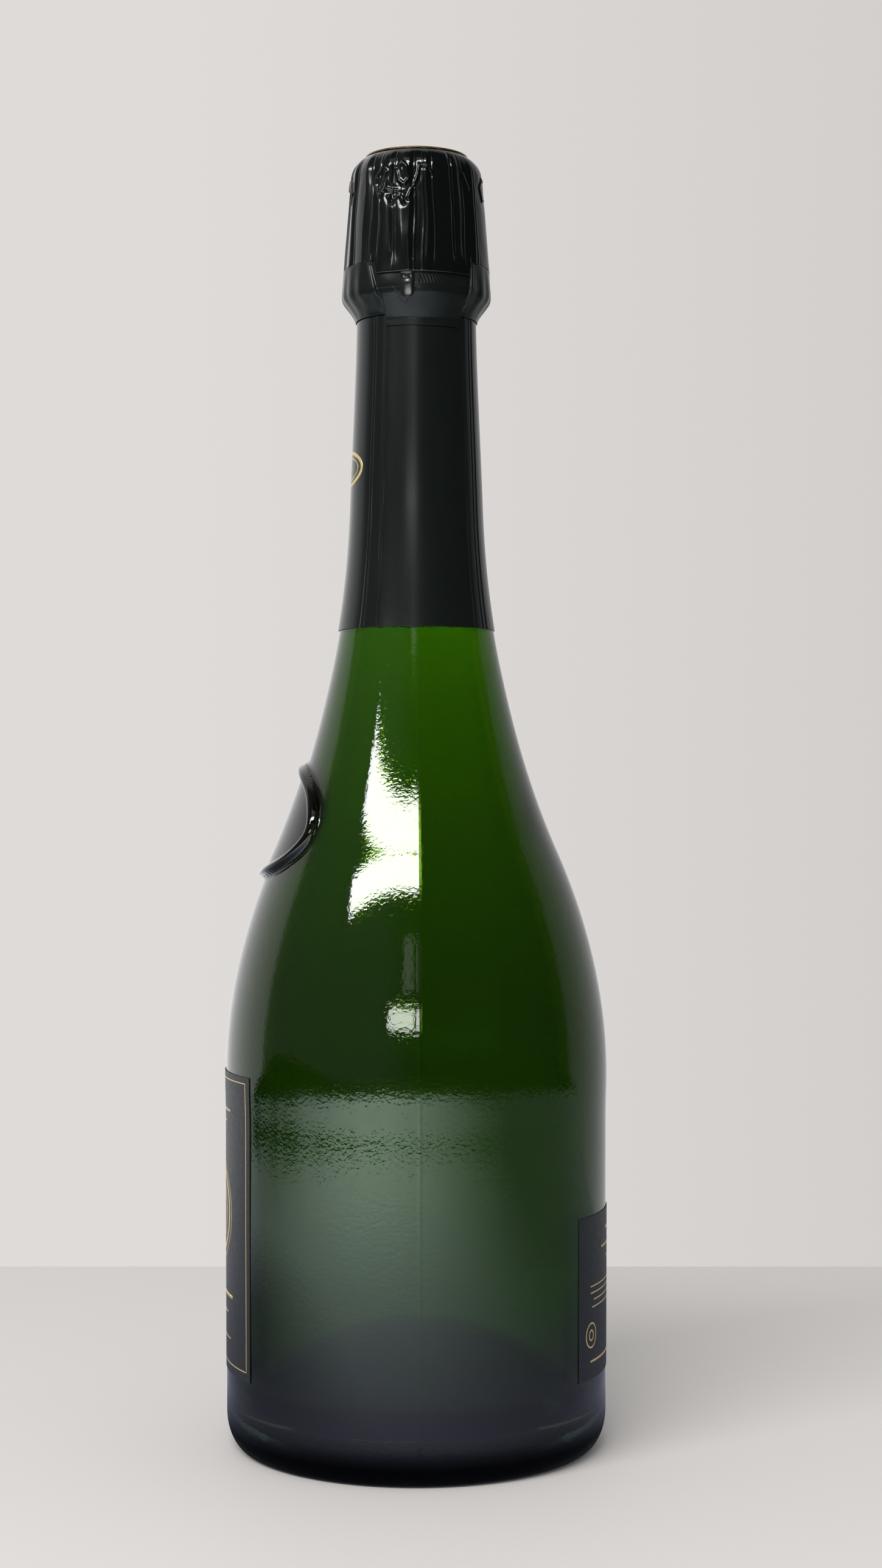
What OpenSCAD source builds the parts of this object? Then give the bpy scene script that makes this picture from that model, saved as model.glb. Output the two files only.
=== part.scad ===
// Sealed sparkling wine bottle: glass, wine, mushroom cork, wire cage, foil and labels.
// Millimetres, +Z up, origin at the middle of the foot, where the bottle stands.
// The front label and the raised glass seal face -X, and the back label faces +X.

/* [Glass outline] */
// Widest diameter of the body, at the belly above the label panel
body_d = 94.5; // [86:0.5:102]
// How far the label panel lies inside the belly
panel_recess = 0.2; // [0:0.05:0.6]
// Height of the glass from the foot to the lip
glass_h = 300; // [290:1:312]
// Height of the belly, where the shoulder begins
belly_z = 92; // [87:1:99]
// Height of the middle of the shoulder
shoulder_z = 146.5; // [140:0.5:153]
// Diameter at the middle of the shoulder
shoulder_d = 69.9; // [66:0.1:74]
// Height where the shoulder runs out into the neck
neck_foot_z = 192; // [185:1:199]
// Diameter where the shoulder runs out into the neck
neck_foot_d = 41.8; // [40:0.1:46]
// Height where the neck becomes almost straight
neck_mid_z = 232.5; // [225:0.5:240]
// Diameter where the neck becomes almost straight
neck_mid_d = 32.4; // [31.4:0.1:36]
// Diameter of the neck just under its ring
neck_d = 28.9; // [28:0.1:30]

/* [Glass walls and foot] */
// Wall of the body and shoulder
body_wall = 4.9; // [3.5:0.1:5.5]
// Wall of the neck
neck_wall = 4.1; // [3.4:0.1:4.8]
// Bore of the mouth, which the cork seals
bore_d = 17.5; // [16.5:0.1:18.5]
// Length of the straight bore below the lip
bore_len = 27; // [26:0.5:32]
// Height of the rounded heel
heel_h = 9; // [6:0.5:14]
// How far the heel draws in from the body to the foot
heel_in = 4.9; // [3:0.1:7]
// Width of the flat ring that the bottle stands on
foot_w = 3; // [1.5:0.1:5]
// Height of the hollow under the bottle
punt_h = 26; // [18:0.5:36]
// Thickness of the glass at the top of the hollow
punt_wall = 7.5; // [5:0.5:9]
// Thickness of the glass at the foot
foot_wall = 9.5; // [6:0.5:11]

/* [Mouth] */
// Diameter of the bead around the lip
bead_d = 29; // [27.5:0.1:30]
// Height of the bead
bead_h = 7; // [5.5:0.5:8]
// Diameter of the ring that the wire cage hooks under
ring_d = 32.2; // [31.5:0.1:33]
// Height of that ring
ring_h = 4.4; // [3.5:0.1:5]
// Distance from the lip down to the top of that ring
ring_drop = 11; // [10:0.5:13]

/* [Glass seal on the shoulder] */
// Height of the middle of the raised oval seal
seal_z = 153.8; // [148:0.1:158]
// Width of the oval
seal_w = 45.4; // [30:0.2:50]
// Length of the oval along the slope of the shoulder
seal_len = 30.2; // [22:0.2:34]
// Width of the rope-like rim
seal_rim = 2.8; // [1.8:0.1:4]
// How far the rim stands out of the glass
seal_proud = 2.3; // [1.2:0.1:3.5]
// How far the field inside the rim stands out
seal_field = 0.7; // [0.3:0.1:1.1]

/* [Wine and cork] */
// Height that the bottle is filled to
fill_z = 220; // [205:1:240]
// Length of cork inside the mouth
cork_in = 24.5; // [20:0.5:25.5]
// Height of the mushroom head above the lip
cork_head_h = 19.6; // [16:0.2:24]
// Diameter of the mushroom head
cork_head_d = 27.6; // [26:0.1:28.4]
// Thickness of each natural cork disc at the wine end
disc_t = 4.5; // [3:0.5:6]
// Running clearance of the cork in the bore, on the radius
cork_gap = 0.05; // [0.02:0.01:0.1]

/* [Wire cage] */
// Diameter of the steel wire
wire_d = 0.8; // [0.6:0.05:0.9]
// Thickness of the metal cap on the cork
cap_t = 0.3; // [0.2:0.05:0.5]
// Diameter of the wire ring on the cap
top_ring_d = 24.4; // [22:0.2:25]
// Full turns of the twist in each leg
leg_turns = 6; // [3:1:8]
// Full turns of the twist in the stem of the eyelet
stem_turns = 3; // [1:1:4]
// Inner diameter of the eyelet that the fingers turn
eyelet_d = 5.4; // [4:0.2:6]

/* [Foil] */
// Thickness of the foil
foil_t = 0.25; // [0.15:0.05:0.35]
// Height of the lower edge of the foil
foil_foot_z = 201; // [195:1:215]
// Number of pleats gathered round the crown
pleats = 26; // [16:1:36]
// Depth of the pleats
pleat_depth = 0.45; // [0:0.05:0.6]
// Width of the pull tab
tab_w = 3.7; // [3:0.1:6]
// Length of the pull tab
tab_len = 6.6; // [4:0.1:7]
// Angle of the pull tab round the neck, from the side that faces -Y
tab_angle = -6.5; // [-20:0.5:20]

/* [Labels] */
// Thickness of the label paper
paper_t = 0.12; // [0.08:0.01:0.2]
// Width of the front label, measured round the glass
front_w = 54.2; // [40:0.2:80]
// Height of the lower edge of the front label
front_z = 20; // [14:0.5:30]
// Height of the front label itself
front_h = 72.8; // [50:0.5:74]
// Width of the back label, measured round the glass
back_w = 56; // [40:0.2:80]
// Height of the lower edge of the back label
back_z = 20; // [14:0.5:30]
// Height of the back label itself
back_h = 39.2; // [25:0.5:60]

/* [Hidden] */

// Clearance between pieces that rest on each other
fit_gap = 0.05;
// Layer of glue under the paper
paper_gap = 0.03;
// Clearance between pieces that only lie near each other
free_gap = 0.15;
// How far a cutter runs past the face that it cuts
over = 1;
$fn = 96;

// The outline of the glass is a chain of cubic spans: height, radius and slope at each knot
body_r = body_d / 2;
panel_r = body_r - panel_recess;
// Draw of the panel towards the heel, on the radius
panel_draw = 0.17;
// Height over which the panel swells out to the belly
belly_run = 11;
// Straight part of the neck under the ring, and how much wider the neck is at its foot
neck_run = 6;
neck_swell = 0.13;
// Root below the ring, where the straight neck ends
ring_root = 3.6;
neck_top_z = glass_h - ring_drop - ring_h - ring_root;
neck_end_z = neck_top_z - neck_run;
knots = [
    [heel_h, panel_r - panel_draw, 0.003],
    [belly_z - belly_run, panel_r, 0],
    [belly_z, body_r, 0],
    [shoulder_z, shoulder_d / 2, -0.4415],
    [neck_foot_z, neck_foot_d / 2, -0.2139],
    [neck_mid_z, neck_mid_d / 2, -0.0361],
    [neck_end_z, neck_d / 2 + neck_swell, -0.0212],
    [neck_top_z, neck_d / 2, -0.02]
];

function span_at(z, i = 0) =
    (i >= len(knots) - 2 || z <= knots[i + 1][0]) ? i : span_at(z, i + 1);
function cubic(a, b, s) =
    let (h = b[0] - a[0])
    (2 * s^3 - 3 * s^2 + 1) * a[1] + h * (s^3 - 2 * s^2 + s) * a[2]
    + (3 * s^2 - 2 * s^3) * b[1] + h * (s^3 - s^2) * b[2];
function glass_r(z) =
    let (i = span_at(z), a = knots[i], b = knots[i + 1])
    cubic(a, b, (z - a[0]) / (b[0] - a[0]));
function glass_slope(z) = (glass_r(z + 0.1) - glass_r(z - 0.1)) / 0.2;

// Heights from z0 to z1, about a step apart, with both ends
function levels(z0, z1, step) =
    let (n = max(1, ceil((z1 - z0) / step)))
    [for (k = [0 : n]) z0 + (z1 - z0) * k / n];

// The glass is drawn through these heights, and what lies on it bends at the same ones
level_step = 3.5;
glass_levels = levels(heel_h, neck_top_z, level_step);
function skin_levels(z0, z1) =
    concat([z0], [for (z = glass_levels) if (z > z0 + fit_gap && z < z1 - fit_gap) z], [z1]);
function skin_r(z) =
    let (n = len(glass_levels) - 1, share = (z - heel_h) / (neck_top_z - heel_h),
        i = min(n - 1, max(0, floor(share * n))), a = glass_levels[i], b = glass_levels[i + 1])
    glass_r(a) + (glass_r(b) - glass_r(a)) * (z - a) / (b - a);

// A line of points pushed sideways by d, to the left of its direction
function left_of(p, i) =
    let (t = p[min(i + 1, len(p) - 1)] - p[max(i - 1, 0)])
    [-t[1], t[0]] / norm(t);
function pushed(p, d) = [for (i = [0 : len(p) - 1]) p[i] + d * left_of(p, i)];
function flipped(p) = [for (i = [len(p) - 1 : -1 : 0]) p[i]];
function band_of(p, d) = concat(p, flipped(pushed(p, d)));

// A quarter round: centre c, half-axes a and b, from angle t0 to t1
function arc(c, a, b, t0, t1, n) =
    [for (k = [0 : n]) let (t = t0 + (t1 - t0) * k / n) [c[0] + a * cos(t), c[1] + b * sin(t)]];

// Glass: outside from the foot to the lip
foot_r = panel_r - panel_draw - heel_in;
punt_r = foot_r - foot_w;
ring_top = glass_h - ring_drop;
ring_foot = ring_top - ring_h;
ring_r = ring_d / 2;
bead_r = bead_d / 2;
bore_r = bore_d / 2;
ring_round = 1.3;
root_round = 1;
bead_round = 2.2;
lip_round = 1.2;
// Groove between the ring and the bead: its depth, and how much its edges slope
groove_in = 1.1;
groove_slope = 0.5;
groove_r = bead_r - groove_in;
bead_foot = glass_h - bead_h;
heel_line = arc([foot_r, heel_h], heel_in, heel_h, -90, 0, 10);
body_line = [for (z = glass_levels) [glass_r(z), z]];
mouth_line = concat(
    arc([neck_d / 2 + root_round, ring_foot - root_round], root_round, root_round, 180, 90, 3),
    arc([ring_r - ring_round, ring_foot + ring_round], ring_round, ring_round, -90, 0, 5),
    arc([ring_r - ring_round, ring_top - ring_round], ring_round, ring_round, 0, 90, 5),
    [[groove_r, ring_top + groove_slope], [groove_r, bead_foot - groove_slope]],
    [[bead_r, bead_foot + groove_slope]],
    arc([bead_r - bead_round, glass_h - bead_round], bead_round, bead_round, 0, 90, 5),
    arc([bore_r + lip_round, glass_h - lip_round], lip_round, lip_round, 90, 180, 4));

// Glass: inside from the bore down to the top of the hollow under it
function wall_at(z) =
    z < belly_z ? body_wall
    : z > neck_foot_z ? neck_wall
    : body_wall + (neck_wall - body_wall) * (z - belly_z) / (neck_foot_z - belly_z);
function cavity_r(z) = glass_r(z) - wall_at(z) * sqrt(1 + glass_slope(z)^2);
bore_foot = glass_h - bore_len;
// Height over which the hollow narrows into the bore
bore_flare = 12;
// Rounded corner of the hollow inside the heel
corner_z = heel_h + 10;
corner_in = 6;
corner_r = cavity_r(corner_z) - corner_in;
cavity_line = [for (z = levels(corner_z, bore_foot - bore_flare, level_step)) [cavity_r(z), z]];
cavity_corner = arc([corner_r, corner_z], corner_in, corner_z - foot_wall, -90, 0, 8);
function dome_line(r, z0, h, n = 14) = [for (k = [0 : n]) [r * k / n, z0 + h * (1 - (k / n)^2)]];
cavity_floor = dome_line(corner_r, foot_wall, punt_h + punt_wall - foot_wall);
punt_line = dome_line(punt_r, 0, punt_h);

module glass_solid() {
    difference() {
        rotate_extrude()
            polygon(concat([[0, 0]], heel_line, body_line, mouth_line,
                [[0, glass_h - lip_round]]));
        rotate_extrude()
            polygon(concat([[0, -over], [punt_r, -over]], flipped(punt_line)));
        rotate_extrude()
            polygon(concat(hollow_line, [[bore_r, glass_h + over], [0, glass_h + over]]));
    }
}

// The hollow of the bottle, up to the foot of the straight bore
hollow_line = concat(cavity_floor, cavity_corner, cavity_line, [[bore_r, bore_foot]]);

// The seal stands square to the slope of the shoulder, at the front
seal_tilt = atan(-glass_slope(seal_z));
seal_low = seal_z - seal_len * 0.75;
seal_high = seal_z + seal_len * 0.75;
// Depth of the prism that a layer of the seal is cut from, and how deep it is rooted
seal_depth = seal_w * 0.5;
seal_root = 1;
function oval(a, b, n = 60) = [for (k = [0 : n - 1]) [a * cos(360 * k / n), b * sin(360 * k / n)]];
module seal_layer(proud, outer, inner) {
    intersection() {
        translate([-glass_r(seal_z), 0, seal_z])
            rotate([0, seal_tilt, 0])
                rotate([90, 0, -90])
                    translate([0, 0, -seal_depth / 2])
                        linear_extrude(seal_depth)
                            difference() {
                                polygon(oval(seal_w / 2 - outer, seal_len / 2 - outer));
                                if (inner > 0) {
                                    polygon(oval(seal_w / 2 - inner, seal_len / 2 - inner));
                                }
                            }
        rotate_extrude()
            polygon(skin(seal_low, seal_high, -seal_root, seal_root + proud));
    }
}

module bottle_glass() {
    color("#123a16")
    union() {
        glass_solid();
        seal_layer(seal_field, seal_rim * 0.14, 0);
        seal_layer(seal_proud * 0.55, 0, seal_rim);
        seal_layer(seal_proud * 0.85, seal_rim * 0.14, seal_rim * 0.86);
        seal_layer(seal_proud, seal_rim * 0.3, seal_rim * 0.7);
    }
}

// The wine fills the hollow up to its level
module wine() {
    color("#c9b560")
    intersection() {
        rotate_extrude()
            polygon(concat(hollow_line, [[0, bore_foot]]));
        cylinder(h = fill_z, r = body_r);
    }
}

// A sheet on the glass in section: from z0 to z1, a gap off the glass and t thick
function skin(z0, z1, gap, t) =
    let (h = skin_levels(z0, z1))
    concat([for (z = h) [skin_r(z) + gap, z]], [for (z = flipped(h)) [skin_r(z) + gap + t, z]]);

// A label: from z0 up by h, w wide round the glass, facing the angle at
module label(z0, h, w, at) {
    turn = w / glass_r(z0 + h / 2) * 180 / PI;
    rotate([0, 0, at - turn / 2])
        rotate_extrude(angle = turn)
            polygon(skin(z0, z0 + h, paper_gap, paper_t));
}

module front_label() {
    color("#15171b")
    label(front_z, front_h, front_w, 180);
}

module back_label() {
    color("#15171b")
    label(back_z, back_h, back_w, 0);
}

// Cork: mushroom body of ground cork and two natural discs that meet the wine
cork_r = bore_r - cork_gap;
cork_foot = glass_h - cork_in;
head_r = cork_head_d / 2;
head_top = glass_h + cork_head_h;
// Underside of the head: its gap over the lip, rounded edge and height up to the full width
head_gap = 0.35;
head_edge = 1.6;
head_under = 3.1;
// Steps of the cap over the cork, inwards from the rim and down from the top
cap_steps = [[5.3, 0.8], [3.2, 1.8], [2.7, 3.5], [1.45, 3.8], [0.75, 5.3], [0.05, 6.9]];
head_line = concat([[0, head_top]], [for (s = cap_steps) [head_r - s[0], head_top - s[1]]]);

module cork_body() {
    color("#b98d5c")
    rotate_extrude()
        polygon(concat(
            [[0, cork_foot + 2 * disc_t], [cork_r, cork_foot + 2 * disc_t]],
            [[cork_r, glass_h + head_gap], [bore_r + lip_round, glass_h + head_gap]],
            arc([head_r - head_edge, glass_h + head_gap + 1.2 * head_under],
                head_edge, head_under, -80, 0, 5),
            flipped(head_line)));
}

module disc(k) {
    translate([0, 0, cork_foot + k * disc_t])
        cylinder(h = disc_t, r = cork_r);
}

module cork_disc_upper() {
    color("#c89f6c")
    disc(1);
}

module cork_disc_lower() {
    color("#cfa878")
    disc(0);
}

// Cage: metal cap, wire ring on it, four twisted legs, belt under the glass ring and eyelet
// Height of the cap from its top to its rim
cap_h = 8.2;
cap_under = concat(
    [for (p = head_line) [p[0] == 0 ? 0 : p[0] + fit_gap, p[1] + fit_gap]],
    [[head_r + 2 * fit_gap, head_top - cap_h]]);
cap_line = pushed(cap_under, cap_t);
cap_rim_r = head_r + 2 * fit_gap + cap_t;

module cage_cap() {
    color("#1b1b1d")
    rotate_extrude()
        polygon(concat([[0, cap_under[0][1]]], cap_under, flipped(cap_line),
            [[0, cap_under[0][1] + cap_t]]));
}

wire_r = wire_d / 2;
top_ring_r = top_ring_d / 2;
cap_step_r = head_r - cap_steps[3][0];
cap_step_z = head_top - cap_steps[3][1];
top_ring_z = cap_step_z + 1.1 * cap_t + 3 * fit_gap + wire_r;

module cage_top_wire() {
    color("#8d8f92")
    translate([0, 0, top_ring_z])
        rotate_extrude()
            translate([top_ring_r, 0])
                circle(r = wire_r, $fn = 24);
}

// Half the pitch between the two strands of a twist, and the space that the pair fills
strand_gap = 0.02;
strand_r = wire_r + strand_gap;
pair_r = strand_r + wire_r;
// The belt runs round the neck under the ring, and each leg turns round it in an eye
belt_drop = 1.95;
belt_r = neck_d / 2 + free_gap + 3.6 * wire_r;
belt_z = ring_foot - belt_drop;
eye_r = 2 * wire_r + 3 * strand_gap;

// Middle line of a leg in its own upright plane: distance from the axis, and height
leg_cap_r = cap_rim_r + free_gap + pair_r;
leg_ring_r = ring_r + free_gap + pair_r;
leg_line = [
    [top_ring_r + wire_r + free_gap, top_ring_z + 2 * fit_gap],
    [cap_step_r + cap_t + pair_r + free_gap, cap_step_z + 2 * cap_t],
    [leg_cap_r, head_top - 0.78 * cap_h],
    [leg_cap_r + (leg_ring_r - leg_cap_r) * 0.55, glass_h],
    [leg_ring_r, ring_top],
    [leg_ring_r + fit_gap, ring_foot + ring_h / 3]
];

// A point at share s of the way along a line, by length
function run(p, i) = i == 0 ? 0 : run(p, i - 1) + norm(p[i] - p[i - 1]);
function part_at(p, d, i = 0) =
    (i >= len(p) - 2 || d <= run(p, i + 1)) ? i : part_at(p, d, i + 1);
function along(p, s) =
    let (d = s * run(p, len(p) - 1), i = part_at(p, d))
    p[i] + (p[i + 1] - p[i]) * (d - run(p, i)) / norm(p[i + 1] - p[i]);
// The same line with its corners eased by averaging
function eased(p, s, w = 0.035) =
    (along(p, max(0, s - w)) + 2 * along(p, s) + along(p, min(1, s + w))) / 4;
function side_of(p, s) =
    let (t = eased(p, min(1, s + 0.02)) - eased(p, max(0, s - 0.02)))
    [t[1], -t[0]] / norm(t);

// One strand of a twist: line in (distance, height), with the third axis round the bottle
function strand(p, turns, phase, n) =
    [for (k = [0 : n])
        let (s = k / n, c = eased(p, s), q = side_of(p, s), a = phase + 360 * turns * s)
        [c[0] + strand_r * sin(a) * q[0], strand_r * cos(a), c[1] + strand_r * sin(a) * q[1]]];

// The wire turns round the belt at the foot of a leg and goes back up
eye_from = -20;
eye_turn = 264;
eye_steps = 11;
leg_eye = [for (k = [0 : eye_steps])
    let (t = eye_from - eye_turn * k / eye_steps, side = 1 - 2 * (k + 1) / (eye_steps + 2))
    [belt_r + eye_r * cos(t), strand_r * side, belt_z + eye_r * sin(t)]];
leg_wire = concat(
    strand(leg_line, leg_turns, 0, leg_turns * 8),
    [[leg_ring_r, strand_r, belt_z + 3.5 * wire_r]],
    [[belt_r + eye_r + 0.6 * wire_r, strand_r, belt_z + 1.25 * wire_r]],
    leg_eye,
    [[leg_ring_r - 0.75 * wire_r, -strand_r, belt_z + 3.1 * wire_r]],
    [[leg_ring_r, -strand_r, belt_z + 5.25 * wire_r]],
    flipped(strand(leg_line, leg_turns, 180, leg_turns * 8)));

// A round wire along points; side is a direction that the wire never runs in
module tube(path, r, side, sides = 6) {
    n = len(path);
    rings = [for (i = [0 : n - 1])
        let (t = path[min(i + 1, n - 1)] - path[max(i - 1, 0)],
            u = cross(t, side) / norm(cross(t, side)), v = cross(u, t) / norm(t))
        for (k = [0 : sides - 1])
            path[i] + r * (cos(360 * k / sides) * u + sin(360 * k / sides) * v)];
    walls = [for (i = [0 : n - 2], k = [0 : sides - 1])
        let (a = i * sides + k, b = i * sides + (k + 1) % sides)
        for (f = [[a, b, a + sides], [b, b + sides, a + sides]]) f];
    first = [for (k = [sides - 1 : -1 : 0]) k];
    last = [for (k = [0 : sides - 1]) (n - 1) * sides + k];
    polyhedron(rings, concat([first], walls, [last]));
}

module leg(k) {
    color("#8d8f92")
    rotate([0, 0, 45 + 90 * (k - 1)])
        tube(leg_wire, wire_r, [0, 1, 0]);
}

module cage_leg_1() { leg(1); }
module cage_leg_2() { leg(2); }
module cage_leg_3() { leg(3); }
module cage_leg_4() { leg(4); }

module cage_belt() {
    color("#8d8f92")
    translate([0, 0, belt_z])
        rotate_extrude()
            translate([belt_r, 0])
                circle(r = wire_r, $fn = 24);
}

// Outside of the foil over the legs: at the glass ring, at the cap and between them
over_pair = pair_r + free_gap + foil_t;
hood_ring_r = leg_ring_r + over_pair;
hood_cap_r = leg_cap_r + over_pair;
hood_cap_z = head_top - 0.73 * cap_h;
hood_slope = (hood_cap_r - hood_ring_r) / (hood_cap_z - ring_top);
function hood_r(z) = hood_ring_r + (z - ring_top) * hood_slope;

// The two ends of the belt are twisted into a stem that lies flat against the ring
// and leans in above it, as the legs do
function lean_r(z) = leg_ring_r + max(0, z - ring_top) * hood_slope;
stem_top = bead_foot + wire_d;
stem_line = [
    [leg_ring_r + fit_gap, belt_z],
    [leg_ring_r, ring_top],
    [lean_r(stem_top), stem_top]
];
module cage_twist() {
    color("#8d8f92")
    rotate([0, 0, -90])
        for (phase = [0, 180]) {
            tube(strand(stem_line, stem_turns, phase, stem_turns * 10), wire_r, [0, 1, 0]);
        }
}

eyelet_r = eyelet_d / 2 + wire_r;
eyelet_z = stem_top + free_gap + eyelet_r + wire_r;
module cage_eyelet() {
    color("#8d8f92")
    translate([0, -lean_r(eyelet_z), eyelet_z])
        rotate([90 + atan(hood_slope), 0, 0])
            rotate_extrude()
                translate([eyelet_r, 0])
                    circle(r = wire_r, $fn = 24);
}

// Foil: skirt on the neck, tear band over the ring, pleated crown over the cage, pull tab
band_top = ring_top + ring_h / 4;
tuck = 5.2;
band_foot = belt_z - tuck;
tear_gap = 0.1;
skirt_top = band_foot - tear_gap;

module foil_skirt() {
    color("#14181a")
    union() {
        rotate_extrude()
            polygon(skin(foil_foot_z, skirt_top, fit_gap, foil_t));
        for (fold = skirt_folds) {
            rotate([0, 0, fold[0] - fold[1] / 2])
                rotate_extrude(angle = fold[1])
                    polygon(skin(foil_foot_z, skirt_top, fit_gap + foil_t / 2, 1.1 * foil_t));
        }
    }
}

// Doubled strips where the skirt is folded round the neck: angle and width in degrees
skirt_folds = [[-132, 6], [-36, 5], [-28, 3.5]];

// Tear band: tucked in under the belt, rounded over it, then up to the tear line
band_in_r = neck_d / 2 + fit_gap + foil_t;
eye_out_r = belt_r + eye_r + wire_r;
band_out_r = hood_ring_r + foil_t;
band_line = [
    [band_in_r + 1.6 * foil_t, band_foot],
    [band_in_r + 3 * foil_t, belt_z - 0.75 * tuck],
    [eye_out_r - 3.6 * foil_t, belt_z - 0.56 * tuck],
    [eye_out_r + 1.4 * foil_t, belt_z - 0.365 * tuck],
    [hood_ring_r, belt_z - 0.173 * tuck],
    [band_out_r, belt_z + foil_t / 2],
    [band_out_r, belt_z + 0.82 * belt_drop],
    [hood_ring_r + foil_t / 3, ring_foot + ring_h / 2],
    [hood_r(band_top), band_top]
];
module foil_tear_band() {
    color("#111315")
    rotate_extrude()
        polygon(band_of(band_line, foil_t));
}

// Pleats dip inwards, and run out at the legs and the eyelet: angle and half width in degrees
lumps = [[45, 9], [135, 9], [225, 9], [315, 9], [270, 20]];
function away(a, at) = ((a - at) % 360 + 540) % 360 - 180;
function clear_of(a, i = 0) =
    i >= len(lumps) ? 1 : (1 - exp(-pow(away(a, lumps[i][0]) / lumps[i][1], 2))) * clear_of(a, i + 1);
function pleat(a) = -pleat_depth * (0.5 - 0.5 * cos(pleats * a)) * clear_of(a);
top_z = head_top + fit_gap + cap_t + 2 * free_gap + foil_t;
hood_foot_z = band_top + tear_gap;
hood_turn_z = hood_cap_z - 4 * foil_t;
hood_side = [for (k = [0 : 3]) let (z = hood_foot_z + (hood_turn_z - hood_foot_z) * k / 3)
    [hood_r(z), z]];
function bend(a, b, c, d, s) =
    (1 - s)^3 * a + 3 * (1 - s)^2 * s * b + 3 * (1 - s) * s^2 * c + s^3 * d;
hood_end = hood_side[3];
// Edge of the slightly domed top of the hood: its radius and its drop below the middle
hood_dome_r = 0.84 * head_r;
dome_drop = 1.8;
hood_round = [for (k = [1 : 5])
    bend(hood_end, hood_end + [-0.6 * foil_t, 1.4 * dome_drop],
        [hood_cap_r - dome_drop, top_z - 1.56 * dome_drop],
        [hood_dome_r, top_z - dome_drop], k / 5)];
hood_dome = [for (k = [3, 2, 1]) [hood_dome_r * k / 4, top_z - dome_drop * (k / 4)^2]];
hood_line = concat(hood_side, hood_round, hood_dome);

module foil_crown() {
    columns = 104;
    rows = len(hood_line);
    under = pushed(hood_line, foil_t);
    fade = [for (p = hood_line) min(1, max(0, ((top_z - p[1]) / dome_drop - 0.9) / 1.67))];
    outer = [for (i = [0 : rows - 1], k = [0 : columns - 1])
        let (a = 360 * k / columns, r = hood_line[i][0] + fade[i] * pleat(a))
        [r * cos(a), r * sin(a), hood_line[i][1]]];
    inner = [for (i = [0 : rows - 1], k = [0 : columns - 1])
        let (a = 360 * k / columns, r = under[i][0] + fade[i] * pleat(a))
        [r * cos(a), r * sin(a), i == 0 ? hood_line[0][1] : under[i][1]]];
    m = rows * columns;
    function wall_faces(base, out) = [for (i = [0 : rows - 2], k = [0 : columns - 1])
        let (a = base + i * columns + k, b = base + i * columns + (k + 1) % columns)
        for (f = out ? [[a, a + columns, b], [b, a + columns, b + columns]]
            : [[a, b, a + columns], [b, b + columns, a + columns]]) f];
    rim = [for (k = [0 : columns - 1]) let (a = k, b = (k + 1) % columns)
        for (f = [[a, b, m + a], [b, m + b, m + a]]) f];
    cap_out = [for (k = [0 : columns - 1]) let (a = (rows - 1) * columns + k,
            b = (rows - 1) * columns + (k + 1) % columns) [a, 2 * m, b]];
    cap_in = [for (k = [0 : columns - 1]) let (a = m + (rows - 1) * columns + k,
            b = m + (rows - 1) * columns + (k + 1) % columns) [a, b, 2 * m + 1]];
    color("#0d0f10")
    polyhedron(concat(outer, inner, [[0, 0, top_z], [0, 0, top_z - foil_t]]),
        concat(wall_faces(0, true), wall_faces(m, false), rim, cap_out, cap_in));
}

// The pull tab hangs from the tear line over the band, with a round free end
tab_t = 0.3;
tab_top = band_top - fit_gap;
tab_foot = tab_top - tab_len;
function tab_seat_r(z) =
    band_out_r + free_gap - foil_t * max(0, z - ring_foot) / ring_h;
module foil_pull_tab() {
    color("#101214")
    rotate([0, 0, tab_angle])
        intersection() {
            translate([0, 0, tab_top])
                rotate([90, 0, 0])
                    linear_extrude(band_out_r + over)
                        union() {
                            translate([-tab_w / 2, -tab_len + tab_w / 2])
                                square([tab_w, tab_len - tab_w / 2]);
                            translate([0, -tab_len + tab_w / 2])
                                circle(d = tab_w);
                        }
            rotate_extrude()
                polygon(band_of([for (z = [tab_foot - over, ring_foot, tab_top + over])
                    [tab_seat_r(z), z]], -tab_t));
        }
}

bottle_glass();
wine();
front_label();
back_label();
foil_skirt();
cork_body();
cork_disc_upper();
cork_disc_lower();
cage_cap();
cage_top_wire();
cage_leg_1();
cage_leg_2();
cage_leg_3();
cage_leg_4();
cage_belt();
cage_twist();
cage_eyelet();
foil_crown();
foil_tear_band();
foil_pull_tab();
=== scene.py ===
"""Looks of a sealed sparkling wine bottle: dark green glass, foil hood, wire cage, cork and labels.

Metres, +Z up. The front label and the glass seal face -X, the camera looks along +Y.
"""
import math

import bpy
import numpy as np
from bpy.props import FloatProperty, FloatVectorProperty, PointerProperty
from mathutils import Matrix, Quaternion, Vector


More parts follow.
